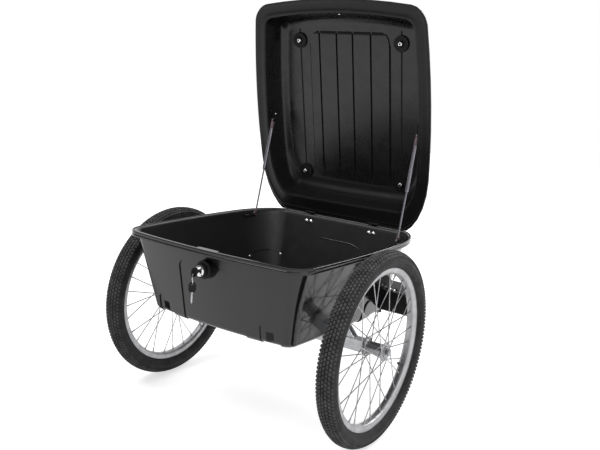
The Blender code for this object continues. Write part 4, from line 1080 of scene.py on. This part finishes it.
# Start of a piece's name and its finish; the first that fits counts
FINISH_OF = (
    ("tub", "tub"), ("lid_rail", "enamel"), ("lid", "lid"), ("rail_bolt", "dull"),
    ("hinge_leaf", "dull"), ("hinge_bolt", "chrome"), ("hinge_pin", "dull"), ("strut_tube", "strut"),
    ("strut_rod", "strut"), ("strut_socket", "socket"), ("strut_bracket", "dull"), ("lock_housing", "dull"),
    ("lock_cylinder", "chrome"), ("key_ring", "chrome"), ("key", "dull"), ("spare_key", "dull"),
    ("latch_bar", "zinc"), ("axle_beam", "frame"), ("drawbar", "frame"), ("stand_leg", "frame"),
    ("stand_foot", "foot"), ("stand_bracket", "zinc"), ("coupling_fork", "zinc"), ("swivel_block", "nylon"),
    ("hitch_plate", "zinc"), ("corner_guard", "dull"), ("wheel_axle", "zinc"), ("bearing", "zinc"),
    ("valve", "nylon"), ("tyre", "rubber"), ("rim", "rim"), ("spoked_hub", "hub"),
)


def dress_frame(finish):
    """Give each carried-over piece its finish."""
    for name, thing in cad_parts.items():
        look = next(value for start, value in FINISH_OF if name.startswith(start))
        thing.data.materials.clear()
        thing.data.materials.append(finish[look])


# Light, floor and camera

def light(name, place, size, power):
    """Soft box that faces the trailer."""
    data = bpy.data.lights.new(name, "AREA")
    data.shape = "RECTANGLE"
    data.size, data.size_y = size
    data.energy = power
    made = bpy.data.objects.new(name, data)
    made.location = place
    made.rotation_euler = (Vector(STUDIO_MIDDLE) - Vector(place)).to_track_quat("-Z", "Y").to_euler()
    made.visible_camera = False
    bpy.context.scene.collection.objects.link(made)


def seen_rays(tree):
    """One for rays of the camera and of gloss and glass, else nought."""
    path = add_node(tree, "LightPath", {}).outputs
    gloss = add_node(tree, "Math", {0: path["Is Camera Ray"], 1: path["Is Glossy Ray"]}, operation="MAXIMUM")
    both = add_node(tree, "Math", {0: gloss.outputs[0], 1: path["Is Transmission Ray"]}, operation="MAXIMUM")
    return both.outputs[0]


def make_floor():
    """Pale floor that shows white to the camera and keeps the shadow."""
    h = FLOOR_HALF
    mesh = bpy.data.meshes.new("floor")
    mesh.from_pydata([(x, y, FLOOR_Z) for x, y in ((-h, -h), (h, -h), (h, h), (-h, h))], [], [(0, 1, 2, 3)])
    floor = bpy.data.objects.new("floor", mesh)
    bpy.context.scene.collection.objects.link(floor)
    made, tree, shader, place = new_material("floor_paper")
    # Glows less under the trailer, so that its shadow shows
    away = add_node(tree, "VectorMath", {0: place}, operation="LENGTH").outputs["Value"]
    glow = mapped(tree, away, 1.2, 4.0, 0.62, 1.0)
    strength = add_node(tree, "Math", {0: seen_rays(tree), 1: glow}, operation="MULTIPLY").outputs[0]
    tree.links.new(strength, shader.inputs["Emission Strength"])
    shader.inputs["Emission Color"].default_value = (1.0, 1.0, 1.0, 1.0)
    shader.inputs["Base Color"].default_value = hex_colour("#e6e6e6")
    shader.inputs["Roughness"].default_value = 0.9
    shader.inputs["Specular IOR Level"].default_value = 0.0
    mesh.materials.append(made)


def make_world():
    """White surroundings for the camera and in reflections, dimmer as light."""
    world = bpy.data.worlds.new("studio")
    world.use_nodes = True
    tree = world.node_tree
    back = tree.nodes["Background"]
    # The room behind the camera's left is unlit, so what mirrors it stays dark
    way = add_node(tree, "TexCoord", {}).outputs["Generated"]
    toward = add_node(tree, "VectorMath", {0: way, 1: DARK_SIDE}, operation="DOT_PRODUCT").outputs["Value"]
    room = mapped(tree, toward, 0.45, 0.92, 1.0, DARK_LEVEL)
    camera = add_node(tree, "LightPath", {}).outputs["Is Camera Ray"]
    bright = add_node(tree, "Math", {0: camera, 1: room}, operation="MAXIMUM").outputs[0]
    strength = mapped(tree, seen_rays(tree), 0.0, 1.0, WORLD_AS_LIGHT, bright)
    tree.links.new(strength, back.inputs["Strength"])
    back.inputs["Color"].default_value = (1.0, 1.0, 1.0, 1.0)
    bpy.context.scene.world = world


def make_camera():
    """Camera at the photograph's place, turn and roll."""
    az, el, roll = CAMERA_AZIMUTH, CAMERA_ELEVATION, CAMERA_ROLL
    back = Vector((math.sin(az) * math.cos(el), -math.cos(az) * math.cos(el), math.sin(el)))
    level = Vector((0.0, 0.0, 1.0)).cross(back).normalized()
    rise = back.cross(level)
    right = level * math.cos(roll) + rise * math.sin(roll)
    up = rise * math.cos(roll) - level * math.sin(roll)
    data = bpy.data.cameras.new("camera")
    data.lens = LENS_MM
    data.sensor_width = SENSOR_MM
    data.clip_end = 50.0
    made = bpy.data.objects.new("camera", data)
    turn = Matrix((right, up, back)).transposed().to_4x4()
    made.matrix_world = Matrix.Translation(CAMERA_PLACE) @ turn
    bpy.context.scene.collection.objects.link(made)
    bpy.context.scene.camera = made


def make_studio():
    """Large soft boxes round the trailer, the white room and the camera."""
    for box in SOFT_BOXES:
        light(*box)
    make_world()
    make_floor()
    make_camera()
    bpy.context.scene.view_settings.view_transform = "Standard"


finish = make_finishes()
dress_frame(finish)
for side, word in ((-1.0, "left"), (1.0, "right")):
    dress_wheel(side, word, finish)
dress_lid(finish)
dress_struts(finish)
dress_tub(finish)
dress_keys(finish)
make_studio()
